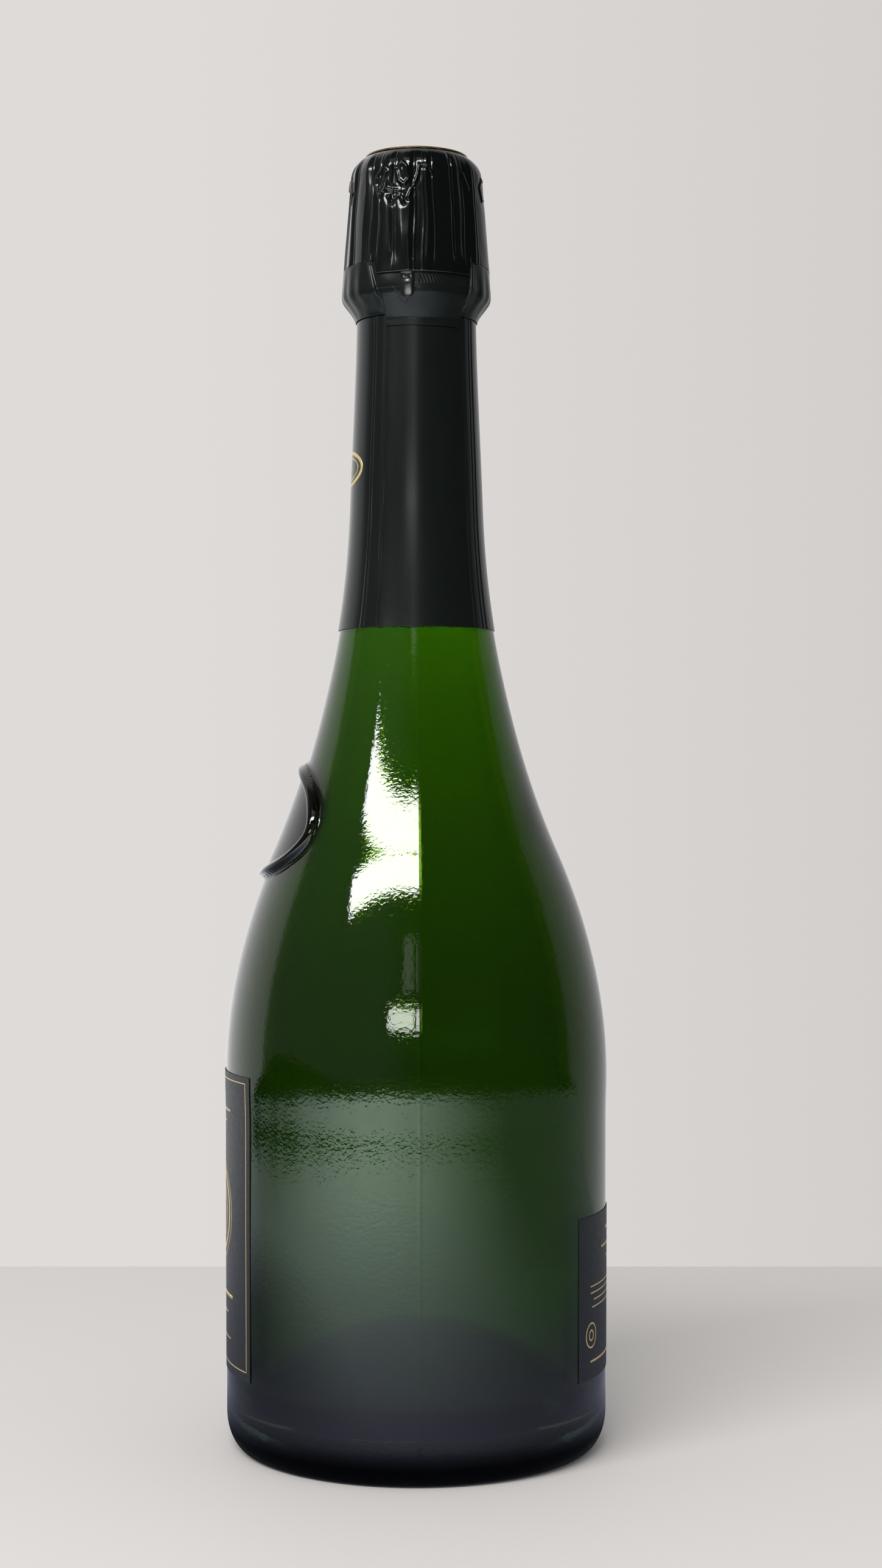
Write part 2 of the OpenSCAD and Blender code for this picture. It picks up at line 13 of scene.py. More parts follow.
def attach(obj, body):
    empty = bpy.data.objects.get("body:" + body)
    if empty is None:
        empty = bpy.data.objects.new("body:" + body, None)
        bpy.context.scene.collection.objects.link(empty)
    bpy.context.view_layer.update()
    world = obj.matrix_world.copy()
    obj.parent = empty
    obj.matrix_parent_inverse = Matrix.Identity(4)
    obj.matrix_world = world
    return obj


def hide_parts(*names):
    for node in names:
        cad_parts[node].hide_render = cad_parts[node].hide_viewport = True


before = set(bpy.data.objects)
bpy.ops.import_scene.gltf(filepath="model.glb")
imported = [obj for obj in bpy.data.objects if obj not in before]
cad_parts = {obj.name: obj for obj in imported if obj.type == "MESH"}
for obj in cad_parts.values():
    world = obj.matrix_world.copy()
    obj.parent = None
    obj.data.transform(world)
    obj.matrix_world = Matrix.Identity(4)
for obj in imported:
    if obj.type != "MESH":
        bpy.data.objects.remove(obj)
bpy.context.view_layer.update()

bl_info = {
    "name": "Sparkling Wine Bottle",
    "version": (1, 0, 0),
    "blender": (4, 5, 0),
    "location": "View3D > Sidebar > Bottle",
    "description": "Builds the visible pieces of a sealed sparkling wine bottle",
    "category": "Add Mesh",
}

MM = 0.001
TAU = 2 * math.pi


# ---- Colours and nodes

def linear(code):
    """The linear colour of an sRGB hex code."""
    parts = [int(code[k:k + 2], 16) / 255 for k in (1, 3, 5)]
    return tuple(c / 12.92 if c <= 0.04045 else ((c + 0.055) / 1.055) ** 2.4 for c in parts)


def scaled(colour, factor):
    """A colour made darker or lighter."""
    return tuple(min(1.0, c * factor) for c in colour)


def add_node(tree, kind, inputs=None, **settings):
    """Adds a node, sets its options, and fills or links its inputs."""
    node = tree.nodes.new(kind)
    for name, value in settings.items():
        setattr(node, name, value)
    for name, value in (inputs or {}).items():
        socket = node.inputs[name]
        if isinstance(value, bpy.types.NodeSocket):
            tree.links.new(value, socket)
        elif socket.type == "RGBA":
            socket.default_value = (*value, 1)
        else:
            socket.default_value = value
    return node


def start_material(name):
    """An empty node material, its tree, and the place on the object in metres."""
    material = bpy.data.materials.new(name)
    material.use_nodes = True
    material.node_tree.nodes.clear()
    place = add_node(material.node_tree, "ShaderNodeTexCoord").outputs["Object"]
    return material, material.node_tree, place


def close_material(tree, surface):
    """Puts a Principled shader with these inputs on the output."""
    shader = add_node(tree, "ShaderNodeBsdfPrincipled", surface)
    add_node(tree, "ShaderNodeOutputMaterial", {"Surface": shader.outputs[0]})


# ---- Outline of the glass, in millimetres, as the source has it

KNOTS = np.array([
    [9.0, 46.88, 0.003], [81.0, 47.05, 0.0], [92.0, 47.25, 0.0], [146.5, 34.95, -0.4415],
    [192.0, 20.9, -0.2139], [232.5, 16.2, -0.0361], [275.0, 14.58, -0.0212], [281.0, 14.45, -0.02]])


def glass_r(z):
    """Outside radius of the glass at heights z."""
    z = np.asarray(z, float)
    i = np.clip(np.searchsorted(KNOTS[:, 0], z, side="right") - 1, 0, len(KNOTS) - 2)
    a, b = KNOTS[i], KNOTS[i + 1]
    h = b[..., 0] - a[..., 0]
    s = (z - a[..., 0]) / h
    return ((2 * s**3 - 3 * s**2 + 1) * a[..., 1] + h * (s**3 - 2 * s**2 + s) * a[..., 2]
            + (3 * s**2 - 2 * s**3) * b[..., 1] + h * (s**3 - s**2) * b[..., 2])


def arc(cx, cz, a, b, t0, t1, n):
    """Points of a quarter round, from angle t0 to t1 in degrees."""
    return [(cx + a * math.cos(math.radians(t0 + (t1 - t0) * k / n)),
             cz + b * math.sin(math.radians(t0 + (t1 - t0) * k / n))) for k in range(n + 1)]


def ease(x):
    """0 below 0, 1 above 1, smooth between."""
    x = np.clip(x, 0, 1)
    return x * x * (3 - 2 * x)


def away(a, at):
    """Angle from at to a in degrees, from -180 to 180."""
    return (a - at + 180) % 360 - 180


def wander(theta, z, seed, waves, turns, tall):
    """Soft uneven field of angle and height, whole round the bottle: about -1 to 1."""
    draw = np.random.RandomState(seed)
    field = np.zeros(np.broadcast(theta, z).shape)
    for _ in range(waves):
        m = draw.randint(1, turns + 1)
        k = draw.normal() * TAU / tall
        field = field + np.cos(np.radians(m * theta) + k * z + draw.uniform(0, TAU))
    return field / math.sqrt(waves)


def creases(theta, z, seed, waves, turns, tall):
    """Sharp-edged crumples: 0 in the flats and up to 1 on the creases."""
    draw = np.random.RandomState(seed)
    field = np.zeros(np.broadcast(theta, z).shape)
    for _ in range(waves):
        m = draw.randint(max(2, turns // 3), turns + 1)
        k = draw.normal() * TAU / tall
        field = field + 1 - np.abs(np.cos(np.radians(m * theta / 2) * 2 + k * z + draw.uniform(0, TAU)))
    return field / waves


# ---- Mesh helpers

def make_piece(name, verts, faces, material, body, replaces=(), smooth=True):
    """A mesh object from millimetre points, finished, slotted and riding on its body."""
    mesh = bpy.data.meshes.new(name)
    mesh.from_pydata((np.asarray(verts, float) * MM).tolist(), [], faces)
    mesh.validate()
    mesh.polygons.foreach_set("use_smooth", [smooth] * len(mesh.polygons))
    mesh.materials.append(material)
    piece = bpy.data.objects.new(name, mesh)
    bpy.context.scene.collection.objects.link(piece)
    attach(piece, body)
    if replaces:
        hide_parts(*replaces)
    return piece


def strip_faces(rows, cols, base=0, flip=False, closed=True):
    """Quads over a rows x cols grid of points."""
    i = np.arange(rows - 1)[:, None] * cols
    k = np.arange(cols if closed else cols - 1)[None, :]
    a, b = i + k, i + (k + 1) % cols
    quads = np.stack([a, b, b + cols, a + cols], -1).reshape(-1, 4) + base
    return (quads[:, ::-1] if flip else quads).tolist()


def turned(r, z, theta):
    """Points of a grid from radius, height and angle in degrees."""
    r, z, theta = np.broadcast_arrays(r, z, theta)
    t = np.radians(theta)
    return np.stack([r * np.cos(t), r * np.sin(t), z], -1)


def shell(outer, inner, tip=False):
    """A closed thin shell from two grids with the same layout, whole round the axis.

    With tip, the last row of each grid is drawn together into one point on the axis.
    """
    rows, cols = outer.shape[:2]
    verts = np.concatenate([outer.reshape(-1, 3), inner.reshape(-1, 3)])
    base = rows * cols
    faces = strip_faces(rows, cols) + strip_faces(rows, cols, base, flip=True)
    k = np.arange(cols)
    n = (k + 1) % cols
    faces += np.stack([k, base + k, base + n, n], -1).tolist()
    last = (rows - 1) * cols
    if tip:
        tips = np.array([[0, 0, outer[-1, :, 2].mean()], [0, 0, inner[-1, :, 2].mean()]])
        verts = np.concatenate([verts, tips])
        faces += [[last + a, last + b, 2 * base] for a, b in zip(k, n)]
        faces += [[base + last + b, base + last + a, 2 * base + 1] for a, b in zip(k, n)]
    else:
        faces += np.stack([last + k, last + n, base + last + n, base + last + k], -1).tolist()
    return verts, faces


def lathe_solid(line, columns):
    """A closed solid of revolution from a line that starts and ends on the axis."""
    line = np.asarray(line, float)
    theta = np.asarray(columns, float)
    body = turned(line[1:-1, 0][:, None], line[1:-1, 1][:, None], theta[None, :])
    rows, cols = body.shape[:2]
    verts = np.concatenate([body.reshape(-1, 3), [[0, 0, line[0, 1]], [0, 0, line[-1, 1]]]])
    faces = strip_faces(rows, cols)
    foot, top = rows * cols, rows * cols + 1
    faces += [[foot, (k + 1) % cols, k] for k in range(cols)]
    last = (rows - 1) * cols
    faces += [[top, last + k, last + (k + 1) % cols] for k in range(cols)]
    return verts, faces


def ribbons(paths, place, lift=0.03):
    """Thin printed lines: each path is (points, width, closed) in flat millimetres.

    place turns flat (u, z, height) arrays into points on the curved surface.
    """
    verts, faces = [], []
    for points, width, closed in paths:
        p = np.asarray(points, float)
        step = (np.roll(p, -1, 0) - np.roll(p, 1, 0)) if closed else np.gradient(p, axis=0)
        side = np.stack([-step[:, 1], step[:, 0]], -1)
        side /= np.linalg.norm(side, axis=1)[:, None]
        left, right = p + side * width / 2, p - side * width / 2
        base, n = len(verts), len(p)
        for low, flat in ((0, left), (lift, left), (lift, right), (0, right)):
            verts.extend(place(flat[:, 0], flat[:, 1], np.full(n, low)).tolist())
        for k in range(n if closed else n - 1):
            m = (k + 1) % n
            for s in range(4):
                a, b = base + s * n, base + ((s + 1) % 4) * n
                faces.append([a + k, a + m, b + m, b + k])
        if not closed:
            faces.append([base + s * n for s in range(4)])
            faces.append([base + s * n + n - 1 for s in (3, 2, 1, 0)])
    return verts, faces


def box_path(u0, u1, z0, z1, step=1.0):
    """A rectangle as a closed path, with points about a step apart."""
    def run(a, b):
        n = max(2, int(np.hypot(*np.subtract(b, a)) / step))
        return [tuple(np.add(a, np.subtract(b, a) * k / n)) for k in range(n)]
    corners = [(u0, z0), (u1, z0), (u1, z1), (u0, z1)]
    return [q for k in range(4) for q in run(corners[k], corners[(k + 1) % 4])]


def oval_path(u, z, a, b, n=72):
    return [(u + a * math.cos(TAU * k / n), z + b * math.sin(TAU * k / n)) for k in range(n)]


# ---- What a user may change

class GlassSettings(bpy.types.PropertyGroup):
    shoulder: FloatVectorProperty(name="Thin glass", description="Tint of one wall at the shoulder",
                                  subtype="COLOR", default=linear("#7fb22a"), min=0, max=1)
    body: FloatVectorProperty(name="Body glass", description="Tint of one wall at the body",
                              subtype="COLOR", default=linear("#62873a"), min=0, max=1)
    heel: FloatVectorProperty(name="Thick glass", description="Tint at the heel and in the seal",
                              subtype="COLOR", default=linear("#35423f"), min=0, max=1)
    wine: FloatVectorProperty(name="Wine", description="Tint of the wine", subtype="COLOR",
                              default=linear("#f4ecc4"), min=0, max=1)
    seam: FloatProperty(name="Mould seam", description="Height of the mould seam",
                        default=0.08 * MM, min=0, max=0.3 * MM, unit="LENGTH")
    rim: FloatProperty(name="Seal rim", description="How far the rim of the seal stands out",
                       default=2.2 * MM, min=1 * MM, max=3 * MM, unit="LENGTH")
    field: FloatProperty(name="Seal field", description="How far the field of the seal stands out",
                         default=0.7 * MM, min=0, max=1 * MM, unit="LENGTH")


class FoilSettings(bpy.types.PropertyGroup):
    hood: FloatVectorProperty(name="Hood", description="Lacquer of the hood", subtype="COLOR",
                              default=linear("#070909"), min=0, max=1)
    skirt: FloatVectorProperty(name="Neck foil", description="Print of the neck foil", subtype="COLOR",
                               default=linear("#0d1110"), min=0, max=1)
    pleat: FloatProperty(name="Pleats", description="Depth of the pleats of the hood",
                         default=0.57 * MM, min=0, max=0.7 * MM, unit="LENGTH")
    crumple: FloatProperty(name="Crumples", description="Depth of the small crumples",
                           default=0.07 * MM, min=0, max=0.2 * MM, unit="LENGTH")
    fold: FloatProperty(name="Neck folds", description="Height of the folds down the neck",
                        default=0.14 * MM, min=0, max=0.3 * MM, unit="LENGTH")


class PaperSettings(bpy.types.PropertyGroup):
    paper: FloatVectorProperty(name="Paper", description="Colour of both labels", subtype="COLOR",
                               default=linear("#15171c"), min=0, max=1)
    gold: FloatVectorProperty(name="Gold print", description="Metallic gold ink", subtype="COLOR",
                              default=linear("#e6cd8c"), min=0, max=1)
    line: FloatProperty(name="Border", description="Width of the printed border",
                        default=0.27 * MM, min=0.1 * MM, max=1 * MM, unit="LENGTH")


class StageSettings(bpy.types.PropertyGroup):
    table: FloatVectorProperty(name="Table", description="Colour of the table", subtype="COLOR",
                               default=linear("#dad6d3"), min=0, max=1)
    wall: FloatVectorProperty(name="Background", description="Colour behind the table", subtype="COLOR",
                              default=linear("#dfdbd8"), min=0, max=1)
    window: FloatProperty(name="Window light", description="Strength of the long soft light",
                          default=15.0, min=0, max=100)


# ---- Glass and wine

def finish_glass(settings):
    # Bottle glass (soda-lime), blown in an iron mould: deep green and glossy, paler where it is thin, nearly
    # black where it is thick or seen edge on, with the faint ripples of its cooling
    material, tree, place = start_material("moulded_green_glass")
    height = add_node(tree, "ShaderNodeSeparateXYZ", {"Vector": place}).outputs["Z"]
    low = add_node(tree, "ShaderNodeMapRange", {"Value": height, "From Min": 0.011, "From Max": 0.02}).outputs[0]
    # The dome of the punt, inside the foot and below 35 mm, is thick too
    flat = add_node(tree, "ShaderNodeMapping", {"Vector": place, "Scale": (1, 1, 0)}).outputs[0]
    out = add_node(tree, "ShaderNodeVectorMath", {0: flat}, operation="LENGTH").outputs["Value"]
    wide = add_node(tree, "ShaderNodeMapRange", {"Value": out, "From Min": 0.0395, "From Max": 0.041}).outputs[0]
    over = add_node(tree, "ShaderNodeMapRange", {"Value": height, "From Min": 0.0345, "From Max": 0.036}).outputs[0]
    off_dome = add_node(tree, "ShaderNodeMath", {0: wide, 1: over}, operation="MAXIMUM").outputs[0]
    low = add_node(tree, "ShaderNodeMath", {0: low, 1: off_dome}, operation="MINIMUM").outputs[0]
    high = add_node(tree, "ShaderNodeMapRange", {"Value": height, "From Min": 0.11, "From Max": 0.2}).outputs[0]
    tint = add_node(tree, "ShaderNodeMix", {0: low, 6: settings.heel, 7: settings.body}, data_type="RGBA").outputs[2]
    tint = add_node(tree, "ShaderNodeMix", {0: high, 6: tint, 7: settings.shoulder}, data_type="RGBA").outputs[2]
    # The seal is an oval, so its width is drawn in to its length before the distance from its middle is taken
    round_seal = add_node(tree, "ShaderNodeMapping", {"Vector": place, "Scale": (1, SEAL_LEN / SEAL_W, 1)}).outputs[0]
    middle = (-SEAL_R0 * MM, 0, SEAL_Z * MM)
    near = add_node(tree, "ShaderNodeVectorMath", {0: round_seal, 1: middle}, operation="DISTANCE").outputs["Value"]
    off_seal = add_node(tree, "ShaderNodeMapRange", {"Value": near, "From Min": 0.016, "From Max": 0.0178}).outputs[0]
    tint = add_node(tree, "ShaderNodeMix", {0: off_seal, 6: settings.heel, 7: tint}, data_type="RGBA").outputs[2]
    # Light that crosses the wall at a slant goes through more glass
    facing = add_node(tree, "ShaderNodeLayerWeight", {"Blend": 0.5}).outputs["Facing"]
    slant = add_node(tree, "ShaderNodeMapRange", {"Value": facing, "From Min": 0.2, "From Max": 0.9}).outputs[0]
    thick = add_node(tree, "ShaderNodeMix", {0: slant, 6: (1, 1, 1), 7: (0.2, 0.23, 0.2)},
                     data_type="RGBA").outputs[2]
    tint = add_node(tree, "ShaderNodeMix", {0: 1.0, 6: tint, 7: thick}, data_type="RGBA",
                    blend_type="MULTIPLY").outputs[2]
    # Patches handled smooth and patches dulled by rubbing in the crate, about 18 mm across
    worn = add_node(tree, "ShaderNodeTexNoise", {"Vector": place, "Scale": 1000 / 18, "Detail": 4.0}).outputs["Fac"]
    rough = add_node(tree, "ShaderNodeMapRange", {"Value": worn, "From Min": 0.4, "From Max": 0.75,
                                                  "To Min": 0.012, "To Max": 0.06}).outputs[0]
    # Ripples 14 mm across and taller than wide, and fine chill marks of 0.9 mm
    tall = add_node(tree, "ShaderNodeMapping", {"Vector": place, "Scale": (1, 1, 0.45)}).outputs[0]
    ripple = add_node(tree, "ShaderNodeTexNoise", {"Vector": tall, "Scale": 1000 / 14, "Detail": 1.5}).outputs["Fac"]
    wave = add_node(tree, "ShaderNodeBump", {"Height": ripple, "Distance": 0.06 * MM, "Strength": 0.6}).outputs[0]
    chill = add_node(tree, "ShaderNodeTexNoise", {"Vector": place, "Scale": 1000 / 0.9, "Detail": 2.0}).outputs["Fac"]
    skin = add_node(tree, "ShaderNodeBump", {"Height": chill, "Distance": 0.045 * MM, "Strength": 0.5,
                                             "Normal": wave}).outputs[0]
    close_material(tree, {"Base Color": tint, "Roughness": rough, "IOR": 1.52, "Transmission Weight": 1.0,
                          "Normal": skin})
    return material


SEAL_Z, SEAL_W, SEAL_LEN, SEAL_RIM = 153.8, 45.4, 30.2, 2.8
SEAL_R0 = float(glass_r(SEAL_Z))


def seal_height(theta, z, rim, field):
    """How far the raised oval seal stands out of the glass at each point.

    The oval is drawn in the plane that leans with the shoulder at the middle of the seal.
    """
    r = glass_r(z)
    x, y = r * np.cos(np.radians(theta)), r * np.sin(np.radians(theta))
    lean = math.atan(0.4415)
    along = (x + SEAL_R0) * math.sin(lean) + (z - SEAL_Z) * math.cos(lean)
    a, b = SEAL_W / 2 - SEAL_RIM / 2, SEAL_LEN / 2 - SEAL_RIM / 2
    # Distance from the middle line of the rim, from the oval's own measure
    k = np.sqrt((y / a) ** 2 + (along / b) ** 2) + 1e-9
    grad = np.sqrt((y / a**2) ** 2 + (along / b**2) ** 2) / k + 1e-9
    d = (k - 1) / grad
    turn = np.arctan2(along / b, y / a)
    # The rim was pressed by hand, so its width and height wander
    hand = 1 + 0.05 * np.sin(5 * turn + 0.7) + 0.04 * np.sin(9 * turn + 2.1)
    round_rim = np.sqrt(np.clip(1 - (d / (SEAL_RIM / 2 * hand)) ** 2, 0, 1))
    skirt = 0.35 * np.exp(-((np.abs(d) - SEAL_RIM / 2) / 0.5) ** 2)
    inside = ease((-d - 0.2) / 1.2)
    bare = np.maximum(np.maximum(rim * hand * round_rim, field * inside), skirt)
    return np.where(x < 0, bare, 0)


def fine_columns(centres, halves, fine, coarse):
    """Angles round the axis, a fine step near each centre and a coarse one elsewhere."""
    out, a = [], 0.0
    while a < 360 - fine / 2:
        out.append(a)
        near = min(abs(away(a, c)) - h for c, h in zip(centres, halves))
        a += fine if near < 0 else coarse
    return np.array(out)


class BOTTLE_OT_glass(bpy.types.Operator):
    """Blown glass bottle with its raised seal, mould seams and punt"""
    bl_idname = "bottle.glass"
    bl_label = "Glass bottle"

    def execute(self, context):
        settings = context.scene.bottle_glass
        z = np.concatenate([np.arange(9, 134, 2.0), np.arange(134, 174, 0.4), np.arange(174, 281, 2.0), [281]])
        theta = fine_columns((180, 271.5, 91.5), (50, 2.0, 2.0), 0.4, 1.6)
        skin = seal_height(theta[None, :], z[:, None], settings.rim / MM, settings.field / MM)
        for at in (271.5, 91.5):
            ridge = np.exp(-(away(theta, at)[None, :] / 0.35) ** 2) * (1 - ease((z[:, None] - 232) / 8))
            skin = skin + settings.seam / MM * ridge
        # Blown glass is a little uneven
        uneven = 0.05 * wander(theta[None, :], z[:, None], 5, 7, 5, 60)
        skin = skin + (uneven - 0.05) * ease((z[:, None] - 9) / 10)
        outer = turned(glass_r(z)[:, None] + skin, z[:, None], theta[None, :])
        heel = arc(41.98, 9, 4.9, 9, -90, 0, 16)[:-1]
        punt = [(38.98 * k / 24, 26 * (1 - (k / 24) ** 2)) for k in range(1, 24)]
        foot_round = arc(38.98 + 0.8, 0.8, 0.8, 0.8, 180, 270, 4)[:-1]
        low = np.array(punt + foot_round + heel)
        ring_top, ring_foot = 289.0, 284.6
        mouth = (arc(15.45, ring_foot - 1, 1, 1, 180, 90, 5)
                 + arc(14.8, ring_foot + 1.3, 1.3, 1.3, -90, 0, 8) + arc(14.8, ring_top - 1.3, 1.3, 1.3, 0, 90, 8)
                 + [(13.4, ring_top + 0.5), (13.4, 292.5), (14.5, 293.6)]
                 + arc(12.3, 297.8, 2.2, 2.2, 0, 90, 8) + arc(9.95, 298.8, 1.2, 1.2, 90, 180, 6))
        high = np.array(mouth + inner_line())
        grid = np.concatenate([turned(low[:, :1], low[:, 1:], theta[None, :]), outer,
                               turned(high[:, :1], high[:, 1:], theta[None, :])])
        rows, cols = grid.shape[:2]
        verts = np.concatenate([grid.reshape(-1, 3), [[0, 0, 26]], [[0, 0, 33.5]]])
        faces = strip_faces(rows, cols)
        faces += [[rows * cols, (k + 1) % cols, k] for k in range(cols)]
        last = (rows - 1) * cols
        faces += [[rows * cols + 1, last + k, last + (k + 1) % cols] for k in range(cols)]
        make_piece("glass_bottle", verts, faces, finish_glass(settings), "bottle", ["bottle_glass"])
        return {"FINISHED"}


def inner_line(grow=0.0):
    """Inside of the glass, from the bore down to the middle of the floor; grow widens it."""
    z = np.linspace(261, 19, 90)
    wall = np.where(z < 92, 4.9, np.where(z > 192, 4.1, 4.9 - 0.8 * (z - 92) / 100))
    slope = (glass_r(z + 0.1) - glass_r(z - 0.1)) / 0.2
    r = glass_r(z) - wall * np.sqrt(1 + slope**2) + grow
    corner_r = r[-1] - 6
    line = [(8.75 + grow, 296), (8.75 + grow, 285), (8.75 + grow, 273)] + list(zip(r, z))
    line += arc(corner_r, 19, 6, 9.5 + grow, 0, -90, 12)[1:]
    return line + [(corner_r * k / 24, 9.5 - grow + 24 * (1 - (k / 24) ** 2)) for k in range(23, 0, -1)]


class BOTTLE_OT_wine(bpy.types.Operator):
    """The wine, filling the bottle up to its level under the foil"""
    bl_idname = "bottle.wine"
    bl_label = "Wine"

    def execute(self, context):
        # Pale gold wine: clear, and a little denser to light than water. It laps 0.06 mm into the glass, so that
        # light goes from glass to wine with no film of air between them
        material, tree, place = start_material("clear_wine")
        depth = add_node(tree, "ShaderNodeSeparateXYZ", {"Vector": place}).outputs["Z"]
        clear = add_node(tree, "ShaderNodeMapRange", {"Value": depth, "From Min": 0.02, "From Max": 0.2}).outputs[0]
        tint = context.scene.bottle_glass.wine
        tint = add_node(tree, "ShaderNodeMix", {0: clear, 6: scaled(tint, 0.9), 7: tint},
                        data_type="RGBA").outputs[2]
        close_material(tree, {"Base Color": tint, "Roughness": 0.0, "IOR": 1.34, "Transmission Weight": 1.0})
        line = [p for p in inner_line(0.06)[::-1] if p[1] < 220]
        top_r = line[-1][0]
        # The wine climbs a little at the glass
        line = [(0, 33.44)] + line + [(top_r, 220.6), (top_r - 0.6, 220.05), (top_r - 2, 220), (0, 220)]
        verts, faces = lathe_solid(line, np.arange(0, 360, 2.5))
        make_piece("wine_fill", verts, faces, material, "bottle", ["wine"])
        return {"FINISHED"}


# ---- Foil

def finish_foil(name, colour, gloss, sheen, coat):
    # Capsule foil: aluminium rolled with a plastic film and lacquered, then gathered by hand. Dark, glossy on
    # its faces and duller where fingers rubbed it, with a fine rolled grain
    material, tree, place = start_material(name)
    down = add_node(tree, "ShaderNodeMapping", {"Vector": place, "Scale": (1, 1, 0.3)}).outputs[0]
    rub = add_node(tree, "ShaderNodeTexNoise", {"Vector": down, "Scale": 1000 / 9, "Detail": 3.0}).outputs["Fac"]
    tint = add_node(tree, "ShaderNodeMix", {0: rub, 6: colour, 7: scaled(colour, 1.4)}, data_type="RGBA").outputs[2]
    rough = add_node(tree, "ShaderNodeMapRange", {"Value": rub, "From Min": 0.3, "From Max": 0.7,
                                                  "To Min": gloss * 0.9, "To Max": gloss * 1.15}).outputs[0]
    rolled = add_node(tree, "ShaderNodeTexNoise", {"Vector": place, "Scale": 1000 / 0.6, "Detail": 3.0}).outputs["Fac"]
    skin = add_node(tree, "ShaderNodeBump", {"Height": rolled, "Distance": 0.008 * MM, "Strength": 0.4}).outputs[0]
    close_material(tree, {"Base Color": tint, "Roughness": rough, "IOR": 1.5, "Specular IOR Level": sheen,
                          "Coat Weight": coat, "Coat Roughness": 0.1, "Normal": skin})
    return material


# Fold lines down the neck foil: angle, half width of the doubled strip, and its share of the height
NECK_FOLDS = ((-132.0, 1.6, 0.8), (-119.6, 1.3, 1.0), (-36.5, 3.0, 1.0), (-30.5, 1.2, 0.8), (-24.0, 2.2, 1.0),
              (52.0, 2.0, 0.8), (98.0, 3.0, 1.0), (141.0, 2.2, 0.9))


def neck_skin(theta, z, fold):
    """How far the neck foil lies outside its plain form."""
    out = 0.012 * wander(theta, z, 11, 6, 4, 120)
    for at, half, share in NECK_FOLDS:
        lean = away(theta, at + 0.02 * (z - 240))
        edge = ease((half - np.abs(lean)) / 0.35 + 0.5)
        groove = np.exp(-((np.abs(lean) - half - 0.35) / 0.35) ** 2)
        out = out + fold * share * (edge - 0.7 * groove)
    return out


class BOTTLE_OT_neck_foil(bpy.types.Operator):
    """Satin foil round the neck, with its folded strips and plain gold stamping"""
    bl_idname = "bottle.neck_foil"
    bl_label = "Neck foil"

    def execute(self, context):
        foil, paper = context.scene.bottle_foil, context.scene.bottle_paper
        theta = fine_columns([f[0] for f in NECK_FOLDS], [f[1] + 1.6 for f in NECK_FOLDS], 0.35, 1.2)[None, :]
        z = np.concatenate([[201, 201.15], np.linspace(201.5, 277.2, 70), [277.35]])[:, None]
        skin_at = glass_r(z) + 0.05
        outer = turned(skin_at + 0.25 + neck_skin(theta, z, foil.fold / MM), z, theta)
        inner = turned(skin_at, z, theta * np.ones_like(z))
        verts, faces = shell(outer, inner)
        satin = finish_foil("satin_neck_foil", foil.skirt, 0.22, 0.38, 0.0)
        make_piece("neck_foil", verts, faces, satin, "bottle", ["foil_skirt"])

        def on_neck(u, z, lift):
            t = 180 - np.degrees(u / 16.3)
            return turned(glass_r(z) + 0.29 + neck_skin(t, z, foil.fold / MM) + lift, z, t)

        rings = [(oval_path(0, 240.8, 9.8, 4.2), 0.9, True), (oval_path(0, 240.8, 7.9, 2.9), 0.25, True),
                 (oval_path(0, 240.8, 2.6, 1.1), 0.5, True)]
        rings += [([(-3 + 0.5 * k, 250.6 + 1.2 * math.sin(k / 12 * math.pi)) for k in range(13)], 0.5, False)]
        verts, faces = ribbons(rings, on_neck)
        make_piece("neck_gold_ring", verts, faces, finish_gold(paper), "bottle")
        return {"FINISHED"}


def finish_gold(paper):
    # Gold ink, printed: bronze powder in a binder, half metal, with the grain of what lies under it
    material, tree, place = start_material("printed_gold_ink")
    grain = add_node(tree, "ShaderNodeTexNoise", {"Vector": place, "Scale": 1000 / 1.2, "Detail": 3.0}).outputs["Fac"]
    tint = add_node(tree, "ShaderNodeMix", {0: grain, 6: scaled(paper.gold, 0.75), 7: paper.gold},
                    data_type="RGBA").outputs[2]
    rough = add_node(tree, "ShaderNodeMapRange", {"Value": grain, "From Min": 0.3, "From Max": 0.7,
                                                  "To Min": 0.35, "To Max": 0.5}).outputs[0]
    skin = add_node(tree, "ShaderNodeBump", {"Height": grain, "Distance": 0.01 * MM, "Strength": 0.5}).outputs[0]
    close_material(tree, {"Base Color": tint, "Metallic": 0.5, "Roughness": rough, "Normal": skin})
    return material


# Faces of the folded hood as seen from the front: angle from the tab's side, and height from groove to crest
PLEATS = ((-80, 0.9), (-77, 0.2), (-67, 0.9), (-62, 0.1), (-47, 0.95), (-42, 0.1), (-34, 0.3), (-29, 0.9),
          (-24, 0.95), (-20, 0.1), (-15, 0.6), (-11, 1.0), (-5, 0.95), (-2, 0.05), (5, 0.3), (10, 0.95), (14, 0.15),
          (24, 0.6), (29, 1.0), (32, 0.05), (37, 0.7), (41, 0.2), (51, 0.6), (56, 1.0), (59, 0.1), (70, 0.6),
          (79, 0.9), (83, 0.1))

